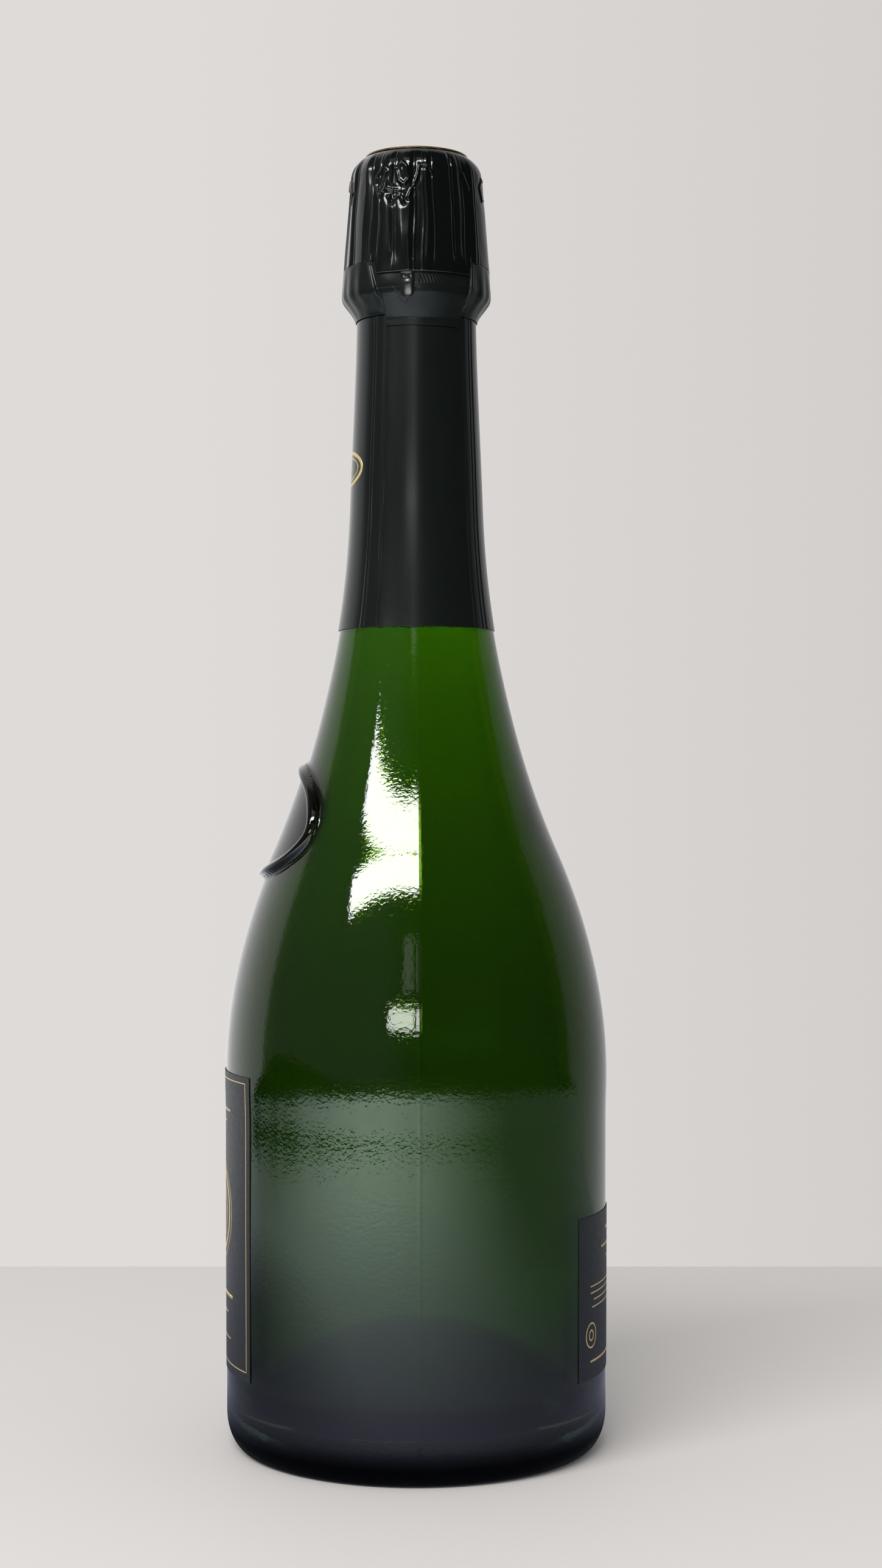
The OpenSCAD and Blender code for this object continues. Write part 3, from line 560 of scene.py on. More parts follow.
# Puckers pressed up along the wire under the foil: lines of angle from the front and height
PUCKERS = (((-36, 310.9), (-30, 312.7), (-25.5, 311.8), (-29, 308.3), (-32.3, 306), (-36.5, 308.9), (-36, 310.9)),
           ((-17, 312.4), (-12, 313.9), (-8, 312.7), (-6, 309.8), (-10, 308.3), (-14.5, 309.5), (-17, 312.4)),
           ((3, 313.3), (1.6, 311), (0, 309.6), (-3, 307.4), (-6.4, 305.1)), ((6.4, 313.2), (11.4, 313), (13.5, 311.4)),
           ((-25.5, 307.5), (-15.5, 306.9)), ((-23, 305.6), (-20, 304.2), (-15, 305.8)), ((-12, 305.4), (-10, 303.8)),
           ((70, 310), (76, 312.6), (84, 311.4), (82, 307.6), (74, 306.8), (70, 310)),
           ((100, 312), (108, 312.8), (112, 309), (106, 306.6)), ((128, 310.6), (136, 312.9), (141, 309.4), (133, 307)),
           ((160, 312), (166, 308.4), (174, 307.2)), ((196, 312.6), (203, 310.4), (199, 307)),
           ((-98, 312.2), (-90, 312.9), (-84, 310)), ((-74, 311.6), (-69, 308.2), (-74, 306)), ((44, 312), (50, 308.6)))


def hood_pleats(theta, z):
    """Height of the pleats, 0 in the grooves and 1 on the crests."""
    draw = np.random.RandomState(4)
    points = [(a - 90, h) for a, h in PLEATS]
    a = points[-1][0]
    while a < 180 - 30:
        wide = draw.uniform(11, 15)
        points += [(a + 0.45 * wide, draw.uniform(0.5, 0.9)), (a + 0.75 * wide, draw.uniform(0.85, 1)),
                   (a + wide, draw.uniform(0.05, 0.25))]
        a += wide
    at, high = np.array(points).T
    # The folds wander as they run down
    seen = theta + 0.9 * wander(theta, z, 17, 6, 9, 34)
    found = sum(np.interp(seen + d, at, high, period=360) for d in (-0.4, 0, 0.4)) / 3
    # Pressed edges beside the grooves
    for a, h in points:
        if h < 0.35:
            found = found + 0.28 * np.exp(-(away(seen, a + 1.5) / 0.6) ** 2)
    return found


def near_line(across, z, line, radius):
    """Distance in millimetres from each point to a broken line on the hood."""
    best = np.full(np.broadcast(across, z).shape, 99.0)
    pts = [(math.radians(a) * radius, h) for a, h in line]
    for (x0, z0), (x1, z1) in zip(pts, pts[1:]):
        dx, dz = x1 - x0, z1 - z0
        s = np.clip(((across - x0) * dx + (z - z0) * dz) / (dx * dx + dz * dz), 0, 1)
        best = np.minimum(best, np.hypot(across - x0 - s * dx, z - z0 - s * dz))
    return best


def along_normals(line):
    """Unit normals of a line of radius and height, outwards."""
    grad = np.gradient(line, axis=0)
    normal = np.stack([grad[:, 1], -grad[:, 0]], -1)
    return normal / np.linalg.norm(normal, axis=1)[:, None]


def bezier(a, b, c, d, n):
    """Points on a cubic curve."""
    s = np.linspace(0, 1, n)[:, None]
    a, b, c, d = map(np.array, (a, b, c, d))
    return (1 - s)**3 * a + 3 * (1 - s)**2 * s * b + 3 * (1 - s) * s**2 * c + s**3 * d


def panel_share(theta, z):
    """1 on the flat panels of the tear band, front and back, and 0 on the gathers between them."""
    return ease(panel_inside(theta, z) / 3 + 0.5)


def panel_inside(theta, z):
    """Degrees inside the edge of the nearer panel; negative on the gathers."""
    lift = np.clip(z - 277, 0, 12)
    front = np.minimum(away(theta, -116 - lift), away(-46 + 0.35 * lift, theta))
    back = np.minimum(away(theta, 58 - 0.4 * lift), away(128 + 0.9 * lift, theta))
    return np.maximum(front, back)


TOP_Z = 320.5


def top_of_hood(r):
    """Height of the flat top of the hood."""
    return TOP_Z - 0.5 - 1.5 * (r / 11.6) ** 2


class BOTTLE_OT_hood(bpy.types.Operator):
    """Pleated and puckered foil hood over the cage and the cork"""
    bl_idname = "bottle.hood"
    bl_label = "Foil hood"

    def execute(self, context):
        foil = context.scene.bottle_foil
        foot, turn = 290.2, 312.6
        slope = (16.35 - 18.29) / (313.6 - 289.0)
        side = [(18.29 + (z - 289) * slope, z) for z in np.linspace(foot, turn, 84)]
        curve = bezier(side[-1], (side[-1][0] - 0.15, turn + 2.5), (14.75, TOP_Z - 2.9),
                       (11.6, top_of_hood(11.6)), 30)[1:]
        dome = [(11.6 * k / 18, top_of_hood(11.6 * k / 18)) for k in range(17, 0, -1)]
        line = np.array(side + curve.tolist() + dome)
        normal = along_normals(line)
        theta = np.arange(0, 360, 0.5)[None, :]
        r, z = line[:, :1], line[:, 1:]
        push = self.relief(theta, z, foil.pleat / MM, foil.crumple / MM)
        # The lower edge hangs lower at the front and the back, over the tear band
        drop = 3.3 * panel_share(theta, 284) * np.clip((foot + 6 - z) / 6, 0, 1) ** 1.5
        r = r - drop * slope
        z = z - drop
        outer = turned(r + push * normal[:, :1], z + push * normal[:, 1:], theta)
        t = 0.22
        inner = turned(np.maximum(r + (push - t) * normal[:, :1], 0.05), z + (push - t) * normal[:, 1:], theta)
        verts, faces = shell(outer, inner, tip=True)
        make_piece("foil_hood", verts, faces, finish_foil("gloss_hood_foil", foil.hood, 0.12, 0.45, 0.0),
                   "crown", ["foil_crown"])

        def on_top(u, v, lift):
            return np.stack([u, v, top_of_hood(np.hypot(u, v)) + lift], -1)

        rings = [(oval_path(0, 0, 12.3, 12.3, 96), 0.8, True), (oval_path(0, 0, 7.6, 7.6), 0.4, True)]
        for k in range(16):
            a = TAU * k / 16
            rings.append((oval_path(9.9 * math.cos(a), 9.9 * math.sin(a), 1.2, 1.2, 20), 0.5, True))
        rings += [([(3.2 * math.cos(a) * s, 3.2 * math.sin(a) * s) for s in (0.25, 0.6, 1, 1.5, 2)], 0.6, False)
                  for a in [TAU * k / 8 for k in range(8)]]
        verts, faces = ribbons(rings, on_top, lift=0.4)
        make_piece("hood_top_ornament", verts, faces, self.finish_bronze(), "crown")
        return {"FINISHED"}

    @staticmethod
    def finish_bronze():
        # Embossed foil printed in bronze ink, rubbed on its high spots
        material, tree, place = start_material("embossed_bronze_print")
        rub = add_node(tree, "ShaderNodeTexNoise", {"Vector": place, "Scale": 1000 / 1.5, "Detail": 3.0}).outputs["Fac"]
        tint = add_node(tree, "ShaderNodeMix", {0: rub, 6: linear("#4c4029"), 7: linear("#8a774e")},
                        data_type="RGBA").outputs[2]
        rough = add_node(tree, "ShaderNodeMapRange", {"Value": rub, "From Min": 0.3, "From Max": 0.7,
                                                      "To Min": 0.3, "To Max": 0.5}).outputs[0]
        close_material(tree, {"Base Color": tint, "Metallic": 0.6, "Roughness": rough})
        return material

    @staticmethod
    def relief(theta, z, pleat, crumple):
        """Pleats, puckers and crumples of the gathered foil; 0 on the flat top."""
        down = ease((TOP_Z - z - 2.2) / 3.6)
        hold = 1 - 0.75 * panel_share(theta, z) * ease((293.6 - z) / 3)
        push = (hood_pleats(theta, z) - 0.79) * pleat * down * hold
        across = np.radians(away(theta, -90)) * 16.9
        for line in PUCKERS:
            d = near_line(across, z, line, 16.9)
            d = np.minimum(d, near_line(across - TAU * 16.9, z, line, 16.9))
            push = push + 0.3 * np.exp(-(d / 0.27) ** 2) - 0.06 * np.exp(-((d - 0.8) / 0.4) ** 2)
        # Foil laid over the eyelet, under the pleats
        bump = np.exp(-(away(theta, -97) / 9) ** 2 - ((z - 294.5) / 4.5) ** 2)
        push = push + 0.3 * bump
        rough = creases(theta, z, 21, 7, 18, 16)
        busy = 0.25 + np.exp(-((z - 309) / 4.5) ** 2) + 0.5 * np.exp(-((z - 292) / 3) ** 2)
        return push + crumple * (rough - 0.6) * 1.6 * busy * down


class BOTTLE_OT_tear_band(bpy.types.Operator):
    """Tear band over the ring of the mouth, with gathered sides and cut marks"""
    bl_idname = "bottle.tear_band"
    bl_label = "Tear band"

    def execute(self, context):
        foil = context.scene.bottle_foil
        line = np.array([(15.15, 277.45), (15.42, 278.2), (15.85, 279.0), (16.45, 279.9), (17.1, 280.8),
                         (17.75, 281.7), (18.2, 282.5), (18.42, 283.4), (18.46, 284.4), (18.44, 285.4),
                         (18.38, 286.6), (18.3, 288.2), (18.2, 290.1)])
        # Finer steps along the same line
        run = np.concatenate([[0], np.cumsum(np.hypot(*np.diff(line, axis=0).T))])
        at = np.linspace(0, run[-1], 66)
        line = np.stack([np.interp(at, run, line[:, 0]), np.interp(at, run, line[:, 1])], -1)
        normal = along_normals(line)
        theta = np.arange(0, 360, 0.5)[None, :]
        r, z = line[:, :1], line[:, 1:]
        # The lower edge of the panels hangs lower, flat on the neck foil
        sag = 2.95 * panel_share(theta, 280) * np.clip((284 - z) / 6.5, 0, 1) ** 1.5
        push = self.relief(theta, z, z - sag)
        z = z - sag
        r = r + push * normal[:, :1]
        z = z + 0.5 * push * normal[:, 1:]
        r = np.maximum(r, glass_r(z) + 0.62)
        outer, inner = turned(r, z, theta), turned(r - 0.2, z + 0.02, theta)
        verts, faces = shell(outer, inner)
        make_piece("tear_band", verts, faces, finish_foil("satin_tear_band", foil.skirt, 0.28, 0.27, 0.0),
                   "band", ["foil_tear_band"])
        return {"FINISHED"}

    @staticmethod
    def relief(theta, z, seen_z):
        """Flat panels front and back, gathered lumps at the sides, and rows of cut marks at the heights seen."""
        # The panels lie lower than the gathers, which lap over their edges
        inside = panel_inside(theta, z)
        gather = ease(-inside / 0.9 + 0.5)
        push = -0.42 + 0.34 * gather
        push = push + 0.14 * np.exp(-((inside + 1.4) / 0.8) ** 2)
        folds = np.cos(np.radians(away(theta, 180) * 26 + 14 * wander(theta, z, 41, 4, 5, 12)))
        push = push + 0.11 * gather * folds * np.exp(-((z - 284) / 5) ** 2)
        push = push + 0.14 * gather * np.exp(-((z - 282.4) / 2.2) ** 2)
        # Crease in a V under the tab, and the crease between the band and its lip
        for lean in (3.4, -3.4):
            d = away(theta, -99.5 + lean * (z - 280.6))
            push = push + 0.12 * np.exp(-(d / 0.9) ** 2) * ease((z - 280.4) / 0.8) * ease((284 - z) / 1.5)
        push = push - 0.09 * (1 - gather) * np.exp(-((seen_z - 283.5) / 0.28) ** 2)
        # Rows of slanting cut marks, about 0.8 mm apart, above and below the strip that tears off
        for zc, half, a0, a1 in ((285.2, 0.95, -88, -43), (275.6, 0.8, -111, -47)):
            row = ease((half - np.abs(seen_z - zc)) / 0.2 + 0.5)
            span = ease(((a1 - a0) / 2 - np.abs(away(theta, (a0 + a1) / 2))) / 2)
            push = push - 0.13 * row * span * (0.5 + 0.5 * np.cos(np.radians(theta) * 140 + (seen_z - zc) * 3.2))
        return push + 0.03 * wander(theta, z, 31, 8, 12, 9) + 0.05 * (creases(theta, z, 33, 6, 16, 9) - 0.6)


class BOTTLE_OT_pull_tab(bpy.types.Operator):
    """Small tab that starts the tear band"""
    bl_idname = "bottle.pull_tab"
    bl_label = "Pull tab"

    def execute(self, context):
        foil = context.scene.bottle_foil
        rows, cols = 44, 25
        s = np.linspace(0, 1, rows)[:, None]
        u = np.linspace(-1, 1, cols)[None, :]
        # The tab starts under the edge of the hood and comes out below it
        length = 9.6
        z = 290.05 - length * s
        out = ease((287.4 - z) / 0.9)
        # Straight sides and a round end
        end = np.clip((length * (1 - s)) / 1.75, 0, 1)
        half = 1.75 * np.sqrt(np.clip(1 - (1 - end) ** 2, 0.0009, 1))
        x = u * half
        puff = 0.28 * (1 - u**4) * np.sin(np.pi * np.clip(s * 1.02, 0, 1)) ** 0.6 * out
        dent = 0.22 * np.exp(-((s - 0.5) / 0.08) ** 2 - (u / 0.55) ** 2)
        fold = 0.12 * np.exp(-((s - 0.36) / 0.03) ** 2)
        r_in = 18.0 + 0.34 * out * np.ones_like(u)
        r_out = r_in + 0.16 + puff + fold - dent
        t = -96.5 + np.degrees(x / 18.7)
        verts = np.concatenate([turned(r_out, z, t).reshape(-1, 3), turned(r_in, z, t).reshape(-1, 3)])
        base = rows * cols
        faces = strip_faces(rows, cols, flip=True, closed=False) + strip_faces(rows, cols, base, closed=False)
        border = ([k for k in range(cols)] + [i * cols + cols - 1 for i in range(1, rows)]
                  + [(rows - 1) * cols + k for k in range(cols - 2, -1, -1)] + [i * cols for i in range(rows - 2, 0, -1)])
        faces += [[a, b, base + b, base + a] for a, b in zip(border, border[1:] + border[:1])]
        make_piece("pull_tab", verts, faces, finish_foil("gloss_pull_tab", foil.skirt, 0.2, 0.5, 0.2),
                   "tab", ["foil_pull_tab"])
        return {"FINISHED"}


# ---- Cork and cage, which the foil hides until it comes off

def dress(node, material):
    """Puts a finish on a piece of the frame."""
    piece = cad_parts[node]
    piece.data.materials.clear()
    piece.data.materials.append(material)


class BOTTLE_OT_cork(bpy.types.Operator):
    """Finishes of the mushroom cork and its two natural discs"""
    bl_idname = "bottle.cork"
    bl_label = "Cork"

    def execute(self, context):
        # Ground cork, glued and pressed: grains about 2.5 mm across with dark joints
        ground, tree, place = start_material("ground_cork")
        cells = add_node(tree, "ShaderNodeTexVoronoi", {"Vector": place, "Scale": 1000 / 2.5}).outputs["Color"]
        tone = add_node(tree, "ShaderNodeSeparateColor", {"Color": cells}).outputs[0]
        grain = add_node(tree, "ShaderNodeMix", {0: tone, 6: linear("#9a6f42"), 7: linear("#cfa273")},
                         data_type="RGBA").outputs[2]
        edge = add_node(tree, "ShaderNodeTexVoronoi", {"Vector": place, "Scale": 1000 / 2.5},
                        feature="DISTANCE_TO_EDGE").outputs["Distance"]
        joint = add_node(tree, "ShaderNodeMapRange", {"Value": edge, "From Min": 0.0, "From Max": 0.08}).outputs[0]
        tint = add_node(tree, "ShaderNodeMix", {0: joint, 6: linear("#6d4a2a"), 7: grain}, data_type="RGBA").outputs[2]
        skin = add_node(tree, "ShaderNodeBump", {"Height": joint, "Distance": 0.15 * MM, "Strength": 0.7}).outputs[0]
        close_material(tree, {"Base Color": tint, "Roughness": 0.85, "Normal": skin})
        # Natural cork, punched from bark: even tan with small dark pores along the grain, about 1 mm long
        natural, tree, place = start_material("natural_cork")
        flat = add_node(tree, "ShaderNodeMapping", {"Vector": place, "Scale": (1, 0.35, 1)}).outputs[0]
        pores = add_node(tree, "ShaderNodeTexNoise", {"Vector": flat, "Scale": 1000 / 0.9, "Detail": 4.0}).outputs["Fac"]
        soft = add_node(tree, "ShaderNodeTexNoise", {"Vector": place, "Scale": 1000 / 5, "Detail": 3.0}).outputs["Fac"]
        bark = add_node(tree, "ShaderNodeMix", {0: soft, 6: linear("#bf9160"), 7: linear("#d9b184")},
                        data_type="RGBA").outputs[2]
        pit = add_node(tree, "ShaderNodeMapRange", {"Value": pores, "From Min": 0.6, "From Max": 0.7}).outputs[0]
        tint = add_node(tree, "ShaderNodeMix", {0: pit, 6: bark, 7: linear("#6b4527")}, data_type="RGBA").outputs[2]
        skin = add_node(tree, "ShaderNodeBump", {"Height": pores, "Distance": 0.1 * MM, "Strength": 0.6}).outputs[0]
        close_material(tree, {"Base Color": tint, "Roughness": 0.8, "Normal": skin})
        for node, material in (("cork_body", ground), ("cork_disc_upper", natural), ("cork_disc_lower", natural)):
            dress(node, material)
        return {"FINISHED"}


class BOTTLE_OT_cage(bpy.types.Operator):
    """Finishes of the wire cage and its cap"""
    bl_idname = "bottle.cage"
    bl_label = "Wire cage"

    def execute(self, context):
        # Steel wire, drawn and thinly tinned: bright, with dull spots and faint lines from the die
        wire, tree, place = start_material("drawn_steel_wire")
        dull = add_node(tree, "ShaderNodeTexNoise", {"Vector": place, "Scale": 1000 / 1.6, "Detail": 4.0}).outputs["Fac"]
        tint = add_node(tree, "ShaderNodeMix", {0: dull, 6: linear("#8b8d90"), 7: linear("#c2c4c6")},
                        data_type="RGBA").outputs[2]
        rough = add_node(tree, "ShaderNodeMapRange", {"Value": dull, "From Min": 0.3, "From Max": 0.7,
                                                      "To Min": 0.22, "To Max": 0.42}).outputs[0]
        drawn = add_node(tree, "ShaderNodeMapping", {"Vector": place, "Scale": (1, 1, 0.2)}).outputs[0]
        lines = add_node(tree, "ShaderNodeTexNoise", {"Vector": drawn, "Scale": 1000 / 0.3}).outputs["Fac"]
        skin = add_node(tree, "ShaderNodeBump", {"Height": lines, "Distance": 0.02 * MM, "Strength": 0.5}).outputs[0]
        close_material(tree, {"Base Color": tint, "Metallic": 1.0, "Roughness": rough, "Normal": skin})
        for node in ("cage_top_wire", "cage_leg_1", "cage_leg_2", "cage_leg_3", "cage_leg_4",
                     "cage_belt", "cage_twist", "cage_eyelet"):
            dress(node, wire)
        # Tinplate, stamped and lacquered black: gloss with a slight orange peel of 1 mm
        cap, tree, place = start_material("lacquered_tinplate")
        rub = add_node(tree, "ShaderNodeTexNoise", {"Vector": place, "Scale": 1000 / 6, "Detail": 4.0}).outputs["Fac"]
        share = add_node(tree, "ShaderNodeMapRange", {"Value": rub, "From Min": 0.55, "From Max": 0.8}).outputs[0]
        tint = add_node(tree, "ShaderNodeMix", {0: share, 6: linear("#141416"), 7: linear("#2c2c2e")},
                        data_type="RGBA").outputs[2]
        rough = add_node(tree, "ShaderNodeMapRange", {"Value": rub, "From Min": 0.3, "From Max": 0.8,
                                                      "To Min": 0.2, "To Max": 0.4}).outputs[0]
        peel = add_node(tree, "ShaderNodeTexNoise", {"Vector": place, "Scale": 1000 / 1.1}).outputs["Fac"]
        skin = add_node(tree, "ShaderNodeBump", {"Height": peel, "Distance": 0.03 * MM, "Strength": 0.5}).outputs[0]
        close_material(tree, {"Base Color": tint, "Roughness": rough, "Coat Weight": 0.8, "Coat Roughness": 0.08,
                              "Normal": skin})
        dress("cage_cap", cap)
        return {"FINISHED"}


# ---- Labels

class BOTTLE_OT_labels(bpy.types.Operator):
    """Front and back labels: dark paper with a gold border and a plain medallion"""
    bl_idname = "bottle.labels"
    bl_label = "Labels"

    def execute(self, context):
        settings = context.scene.bottle_paper
        # Coated label paper, printed black: satin, with the fibres just showing
        paper, tree, place = start_material("printed_label_paper")
        upright = add_node(tree, "ShaderNodeMapping", {"Vector": place, "Scale": (1, 1, 0.5)}).outputs[0]
        fibre = add_node(tree, "ShaderNodeTexNoise", {"Vector": upright, "Scale": 1000 / 0.5, "Detail": 4.0}).outputs["Fac"]
        tint = add_node(tree, "ShaderNodeMix", {0: fibre, 6: settings.paper, 7: scaled(settings.paper, 1.6)},
                        data_type="RGBA").outputs[2]
        rough = add_node(tree, "ShaderNodeMapRange", {"Value": fibre, "From Min": 0.3, "From Max": 0.7,
                                                      "To Min": 0.42, "To Max": 0.56}).outputs[0]
        skin = add_node(tree, "ShaderNodeBump", {"Height": fibre, "Distance": 0.02 * MM, "Strength": 0.4}).outputs[0]
        close_material(tree, {"Base Color": tint, "Roughness": rough, "Normal": skin})
        for node in ("front_label", "back_label"):
            dress(node, paper)
        gold = finish_gold(settings)
        width = settings.line / MM

        def on_side(at):
            def place_on(u, z, lift):
                return turned(glass_r(z) + 0.145 + lift, z, at - np.degrees(u / glass_r(z)))
            return place_on

        def bars(rows):
            return [([(u, z) for u in np.arange(-w, w + 0.1, 1.0)], t, False) for w, z, t in rows]

        border = [(box_path(-25.2, 25.2, 22.2, 91.2), width, True)]
        medal = [(oval_path(0, 58.5, 9.5, 7.6), 0.7, True), (oval_path(0, 58.5, 13.2, 10.6), 1.1, True),
                 (oval_path(0, 58.5, 15.4, 12.4), 0.3, True), (oval_path(0, 58.5, 3.4, 2.7), 0.5, True)]
        medal += [(oval_path(6.3 * math.cos(a), 58.5 + 5.0 * math.sin(a), 1.0, 0.8, 20), 0.35, True)
                  for a in [TAU * k / 10 for k in range(10)]]
        for name, paths in (("front_border", border), ("front_medallion", medal),
                            ("front_lines", bars(((14, 83.5, 0.5), (9, 80.6, 0.25), (16, 38.5, 0.9), (11, 34.2, 0.4),
                                                  (14, 28.2, 0.3))))):
            verts, faces = ribbons(paths, on_side(180), lift=0.02)
            make_piece(name, verts, faces, gold, "bottle")
        rows = bars(((9, 54.5, 0.6), (14, 50.6, 0.5), (8, 47.5, 0.35), (22, 42.2, 0.3), (22, 40.6, 0.3),
                     (20, 38.9, 0.3), (21, 37.2, 0.3), (22, 24.2, 0.5)))
        rows += [(oval_path(u, 30.5, r, r, 40), 0.4, True) for u in (-21.5, 21.5) for r in (2.9, 1.2)]
        verts, faces = ribbons(rows, on_side(0), lift=0.02)
        make_piece("back_lines", verts, faces, gold, "bottle")
        return {"FINISHED"}


# ---- Stage: table, light and camera

class BOTTLE_OT_stage(bpy.types.Operator):
    """Pale table, long soft light and the camera"""
    bl_idname = "bottle.stage"
    bl_label = "Stage"

    def execute(self, context):
        scene, settings = context.scene, context.scene.bottle_stage
        self.make_table(settings)
        self.make_world(scene, settings)
        # A long soft light up to the left, a small one lower down, and a dim ceiling
        self.make_light("window_light", -26.5, 40, 1.1, 0.2, 13, settings.window)
        self.make_light("low_window_light", -8, 8, 0.36, 0.12, 0, settings.window * 0.1)
        self.make_light("door_light", -4, 21, 0.13, 0.3, 0, settings.window * 0.0055)
        self.make_light("ceiling_light", -18, 56, 0.9, 0.36, 0, settings.window * 0.05)
        camera = bpy.data.objects.new("camera", bpy.data.cameras.new("camera"))
        scene.collection.objects.link(camera)
        camera.data.lens = 57.7
        camera.location = (0.0061, -0.625, 0.1612)
        camera.rotation_euler = (math.radians(90.1665), 0, 0)
        camera.data.clip_start, camera.data.clip_end = 0.01, 50
        scene.camera = camera
        scene.view_settings.view_transform = "Standard"
        return {"FINISHED"}

    @staticmethod
    def make_light(name, side, up, wide, tall, tip, power):
        """A soft light 1.35 m from the shoulder; side, up and tip are degrees as seen from there."""
        a, e = math.radians(side), math.radians(up)
        towards = Vector((math.sin(a) * math.cos(e), -math.cos(a) * math.cos(e), math.sin(e)))
        lamp = bpy.data.lights.new(name, "AREA")
        lamp.shape, lamp.size, lamp.size_y, lamp.energy = "RECTANGLE", wide, tall, power
        holder = bpy.data.objects.new(name, lamp)
        bpy.context.scene.collection.objects.link(holder)
        holder.location = Vector((0, 0, 0.155)) + towards * 1.35
        facing = towards.to_track_quat("Z", "Y")
        holder.rotation_euler = (facing @ Quaternion((0, 0, 1), math.radians(tip))).to_euler()
        holder.visible_camera = False

    @staticmethod
    def make_table(settings):
        # Painted board: pale and matt, with a faint mottle. Gloss on the bottle sees a painted glow in place of the
        # board,
        # a painted reflection of window light: bright at the front left, dim at the right, and dark beyond its uneven
        # front edge
        material, tree, place = start_material("board_with_painted_glow")
        mottle = add_node(tree, "ShaderNodeTexNoise", {"Vector": place, "Scale": 1000 / 40, "Detail": 3.0}).outputs["Fac"]
        tint = add_node(tree, "ShaderNodeMix", {0: mottle, 6: scaled(settings.table, 0.985), 7: settings.table},
                        data_type="RGBA").outputs[2]
        board = add_node(tree, "ShaderNodeBsdfPrincipled", {"Base Color": tint, "Roughness": 0.7})
        # Painted shadow in the glow: the bottle keeps the light off the board close to its left side
        painted_shadow_left = add_node(tree, "ShaderNodeVectorMath", {0: place, 1: (-0.17, 0.04, 0)},
                          operation="DISTANCE").outputs["Value"]
        painted_shadow_left = add_node(tree, "ShaderNodeMapRange", {"Value": painted_shadow_left, "From Min": 0.04, "From Max": 0.2,
                                                       "To Min": 0.3, "To Max": 1.0}).outputs[0]
        # Painted contact shadow in the glow round the foot
        from_foot = add_node(tree, "ShaderNodeVectorMath", {0: place}, operation="LENGTH").outputs["Value"]
        painted_contact_shadow = add_node(tree, "ShaderNodeMapRange", {"Value": from_foot, "From Min": 0.05, "From Max": 0.088,
                                                        "To Min": 0.08, "To Max": 1.2}).outputs[0]
        # Colour of the painted reflection: bluer near the foot and whiter farther out
        painted_glow_tint = add_node(tree, "ShaderNodeMapRange", {"Value": from_foot, "From Min": 0.12, "From Max": 0.5}).outputs[0]
        painted_glow_tint = add_node(tree, "ShaderNodeMix", {0: painted_glow_tint, 6: linear("#cdd1ee"), 7: linear("#e6f4f4")},
                       data_type="RGBA").outputs[2]
        # Painted pool of window light at the front left
        from_light_pool = add_node(tree, "ShaderNodeVectorMath", {0: place, 1: (-0.3, -0.6, 0)},
                              operation="DISTANCE").outputs["Value"]
        painted_light_pool = add_node(tree, "ShaderNodeMapRange", {"Value": from_light_pool, "From Min": 0.0, "From Max": 0.85,
                                                      "To Min": 2.9, "To Max": 0.2},
                         interpolation_type="SMOOTHSTEP").outputs[0]
        spot = add_node(tree, "ShaderNodeSeparateXYZ", {"Vector": place}).outputs
        from_middle = add_node(tree, "ShaderNodeVectorMath", {0: place, 1: (0.08, -0.06, 0)},
                               operation="DISTANCE").outputs["Value"]
        # Painted light on the board behind the bottle, strong on the left and weak on the right
        lit_side = add_node(tree, "ShaderNodeMapRange", {"Value": spot["X"], "From Min": -0.05, "From Max": 0.08,
                                                         "To Min": 0.6, "To Max": 0.08}).outputs[0]
        behind = add_node(tree, "ShaderNodeMapRange", {"Value": spot["Y"], "From Min": 0.0, "From Max": 0.2,
                                                       "To Min": 0.0, "To Max": lit_side}).outputs[0]
        level = add_node(tree, "ShaderNodeMath", {0: painted_light_pool, 1: behind}, operation="ADD").outputs[0]
        ragged = add_node(tree, "ShaderNodeTexNoise", {"Vector": place, "Scale": 1000 / 60, "Detail": 4.0}).outputs["Fac"]
        reach = add_node(tree, "ShaderNodeMath", {0: ragged, 1: 0.3, 2: from_middle},
                         operation="MULTIPLY_ADD").outputs[0]
        on_board = add_node(tree, "ShaderNodeMapRange", {"Value": reach, "From Min": 0.84, "From Max": 0.79,
                                                         "To Min": 0.02, "To Max": 1.0}).outputs[0]
        level = add_node(tree, "ShaderNodeMath", {0: level, 1: on_board}, operation="MULTIPLY").outputs[0]
        level = add_node(tree, "ShaderNodeMath", {0: level, 1: painted_shadow_left}, operation="MULTIPLY").outputs[0]
        level = add_node(tree, "ShaderNodeMath", {0: level, 1: painted_contact_shadow}, operation="MULTIPLY").outputs[0]
        # The painted glow, which gloss rays see in place of the board
        painted_glow = add_node(tree, "ShaderNodeEmission", {"Color": painted_glow_tint, "Strength": level})
        gloss = add_node(tree, "ShaderNodeLightPath").outputs["Is Glossy Ray"]
        surface = add_node(tree, "ShaderNodeMixShader", {0: gloss, 1: board.outputs[0], 2: painted_glow.outputs[0]})
        add_node(tree, "ShaderNodeOutputMaterial", {"Surface": surface.outputs[0]})
        mesh = bpy.data.meshes.new("table")
        front, side, back = -0.85, 4.0, 0.228
        mesh.from_pydata([(-side, front, 0), (side, front, 0), (side, back, 0), (-side, back, 0)], [], [(0, 1, 2, 3)])
        mesh.materials.append(material)
        table = bpy.data.objects.new("table", mesh)
        bpy.context.scene.collection.objects.link(table)

    @staticmethod
    def make_world(scene, settings):
        """Pale all round for the camera, with painted shade to the right; for glass and gloss a white wall behind and a
        dim room in front.
        """
        world = bpy.data.worlds.new("studio")
        scene.world = world
        world.use_nodes = True
        tree = world.node_tree
        tree.nodes.clear()
        ray = add_node(tree, "ShaderNodeLightPath").outputs
        towards = add_node(tree, "ShaderNodeTexCoord").outputs["Generated"]
        split = add_node(tree, "ShaderNodeSeparateXYZ", {"Vector": towards}).outputs
        wall = add_node(tree, "ShaderNodeMapRange", {"Value": split["Y"], "From Min": 0.2, "From Max": 0.27}).outputs[0]
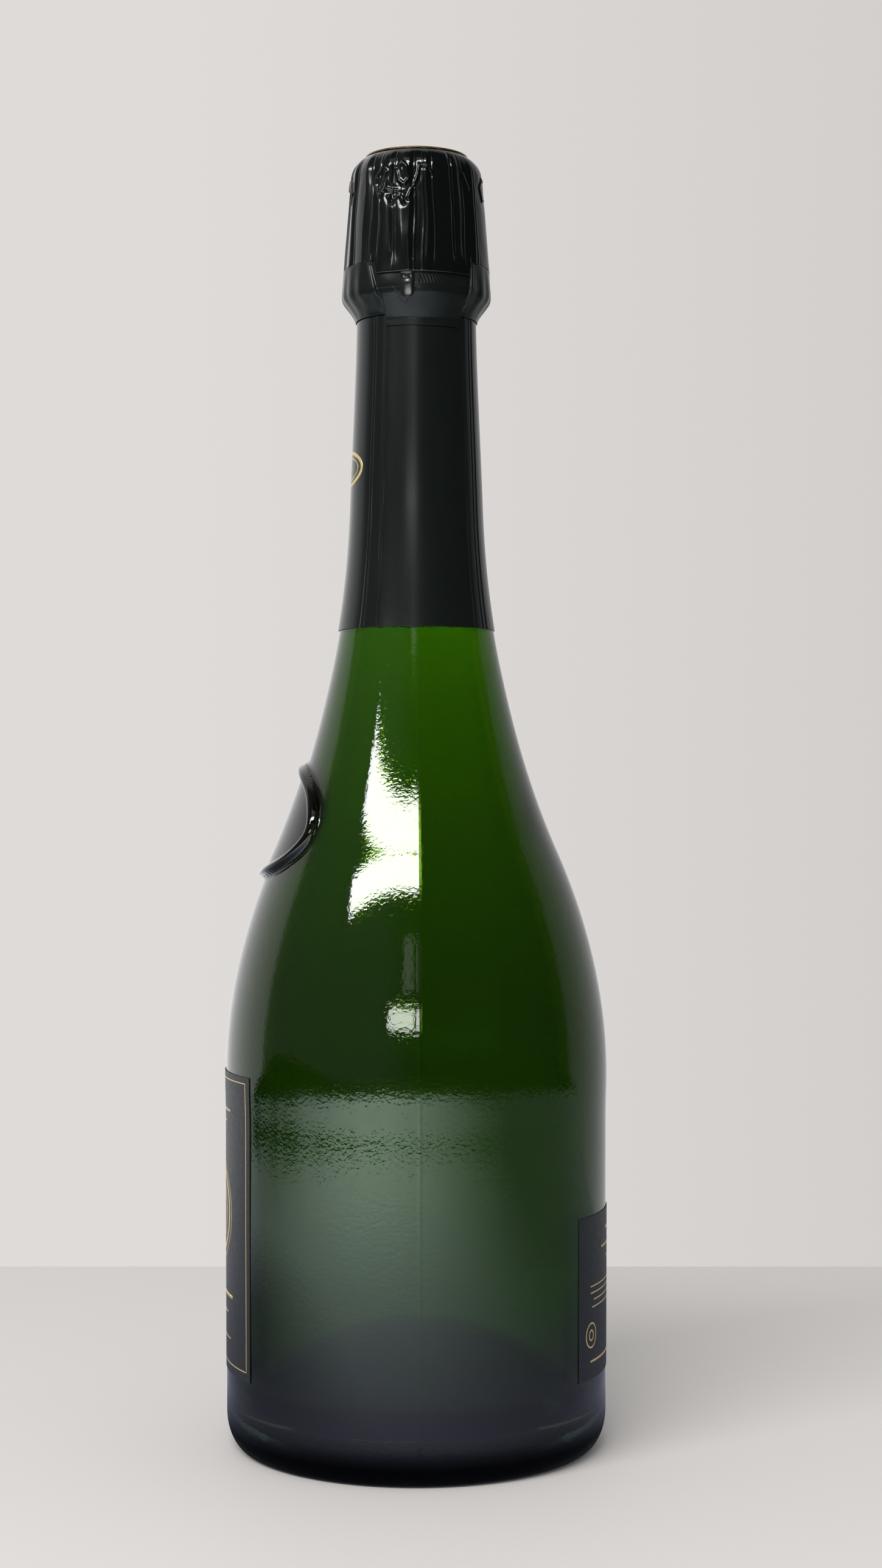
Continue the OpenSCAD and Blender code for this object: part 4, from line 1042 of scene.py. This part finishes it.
        # Gloss sees a dim room in front, a little lighter to the left, and behind a wall that is well lit on the left
        left = add_node(tree, "ShaderNodeMapRange", {"Value": split["X"], "From Min": 0.02, "From Max": -0.35,
                                                     "To Min": 0.015, "To Max": 0.13}).outputs[0]
        dim = add_node(tree, "ShaderNodeMapRange", {"Value": split["Y"], "From Min": 0.25, "From Max": 0.95,
                                                    "To Min": 0.17, "To Max": 0.58}).outputs[0]
        lit_wall = add_node(tree, "ShaderNodeMapRange", {"Value": split["Y"], "From Min": 0.25, "From Max": 0.95,
                                                         "To Min": 0.6, "To Max": 1.15}).outputs[0]
        by_side = add_node(tree, "ShaderNodeMapRange", {"Value": split["X"], "From Min": 0.3, "From Max": -0.3}).outputs[0]
        behind = add_node(tree, "ShaderNodeMix", {0: by_side, 2: dim, 3: lit_wall}).outputs[0]
        mirrored = add_node(tree, "ShaderNodeMix", {0: wall, 2: left, 3: behind}).outputs[0]
        through = add_node(tree, "ShaderNodeMapRange", {"Value": wall, "To Min": 0.012, "To Max": 0.54}).outputs[0]
        lit = add_node(tree, "ShaderNodeMix", {0: ray["Is Glossy Ray"], 2: 0.55, 3: mirrored}).outputs[0]
        lit = add_node(tree, "ShaderNodeMix", {0: ray["Is Transmission Ray"], 2: lit, 3: through}).outputs[0]
        # Painted shade on the backdrop: darker towards the right, standing in for the bottle's shadow on the wall
        # behind
        side = add_node(tree, "ShaderNodeMapRange", {"Value": split["X"], "From Min": -0.1, "From Max": 0.2}).outputs[0]
        backdrop_with_painted_shade = add_node(tree, "ShaderNodeMix", {0: side, 6: settings.wall, 7: scaled(settings.wall, 0.87)},
                        data_type="RGBA").outputs[2]
        shown = add_node(tree, "ShaderNodeMix", {0: ray["Is Camera Ray"], 6: lit, 7: backdrop_with_painted_shade}, data_type="RGBA").outputs[2]
        shade = add_node(tree, "ShaderNodeBackground", {"Color": shown, "Strength": 1.0})
        add_node(tree, "ShaderNodeOutputWorld", {"Surface": shade.outputs[0]})


class BOTTLE_PT_panel(bpy.types.Panel):
    """Lists the pieces of the bottle"""
    bl_label = "Sparkling Wine Bottle"
    bl_idname = "BOTTLE_PT_panel"
    bl_space_type = "VIEW_3D"
    bl_region_type = "UI"
    bl_category = "Bottle"

    def draw(self, context):
        for group, owner in GROUPS.items():
            box = self.layout.box()
            for name in owner.__annotations__:
                box.prop(getattr(context.scene, group), name)
        for operator in OPERATORS:
            self.layout.operator(operator.bl_idname)


OPERATORS = (BOTTLE_OT_glass, BOTTLE_OT_wine, BOTTLE_OT_neck_foil, BOTTLE_OT_hood, BOTTLE_OT_tear_band,
             BOTTLE_OT_pull_tab, BOTTLE_OT_cork, BOTTLE_OT_cage, BOTTLE_OT_labels, BOTTLE_OT_stage)
GROUPS = {"bottle_glass": GlassSettings, "bottle_foil": FoilSettings,
          "bottle_paper": PaperSettings, "bottle_stage": StageSettings}


def register():
    for cls in (*GROUPS.values(), *OPERATORS, BOTTLE_PT_panel):
        bpy.utils.register_class(cls)
    for name, cls in GROUPS.items():
        setattr(bpy.types.Scene, name, PointerProperty(type=cls))


def unregister():
    for name in GROUPS:
        delattr(bpy.types.Scene, name)
    for cls in (BOTTLE_PT_panel, *reversed(OPERATORS), *reversed(list(GROUPS.values()))):
        bpy.utils.unregister_class(cls)


def main():
    register()
    for operator in OPERATORS:
        group, name = operator.bl_idname.split(".")
        getattr(getattr(bpy.ops, group), name)()


if __name__ == "__main__":
    main()
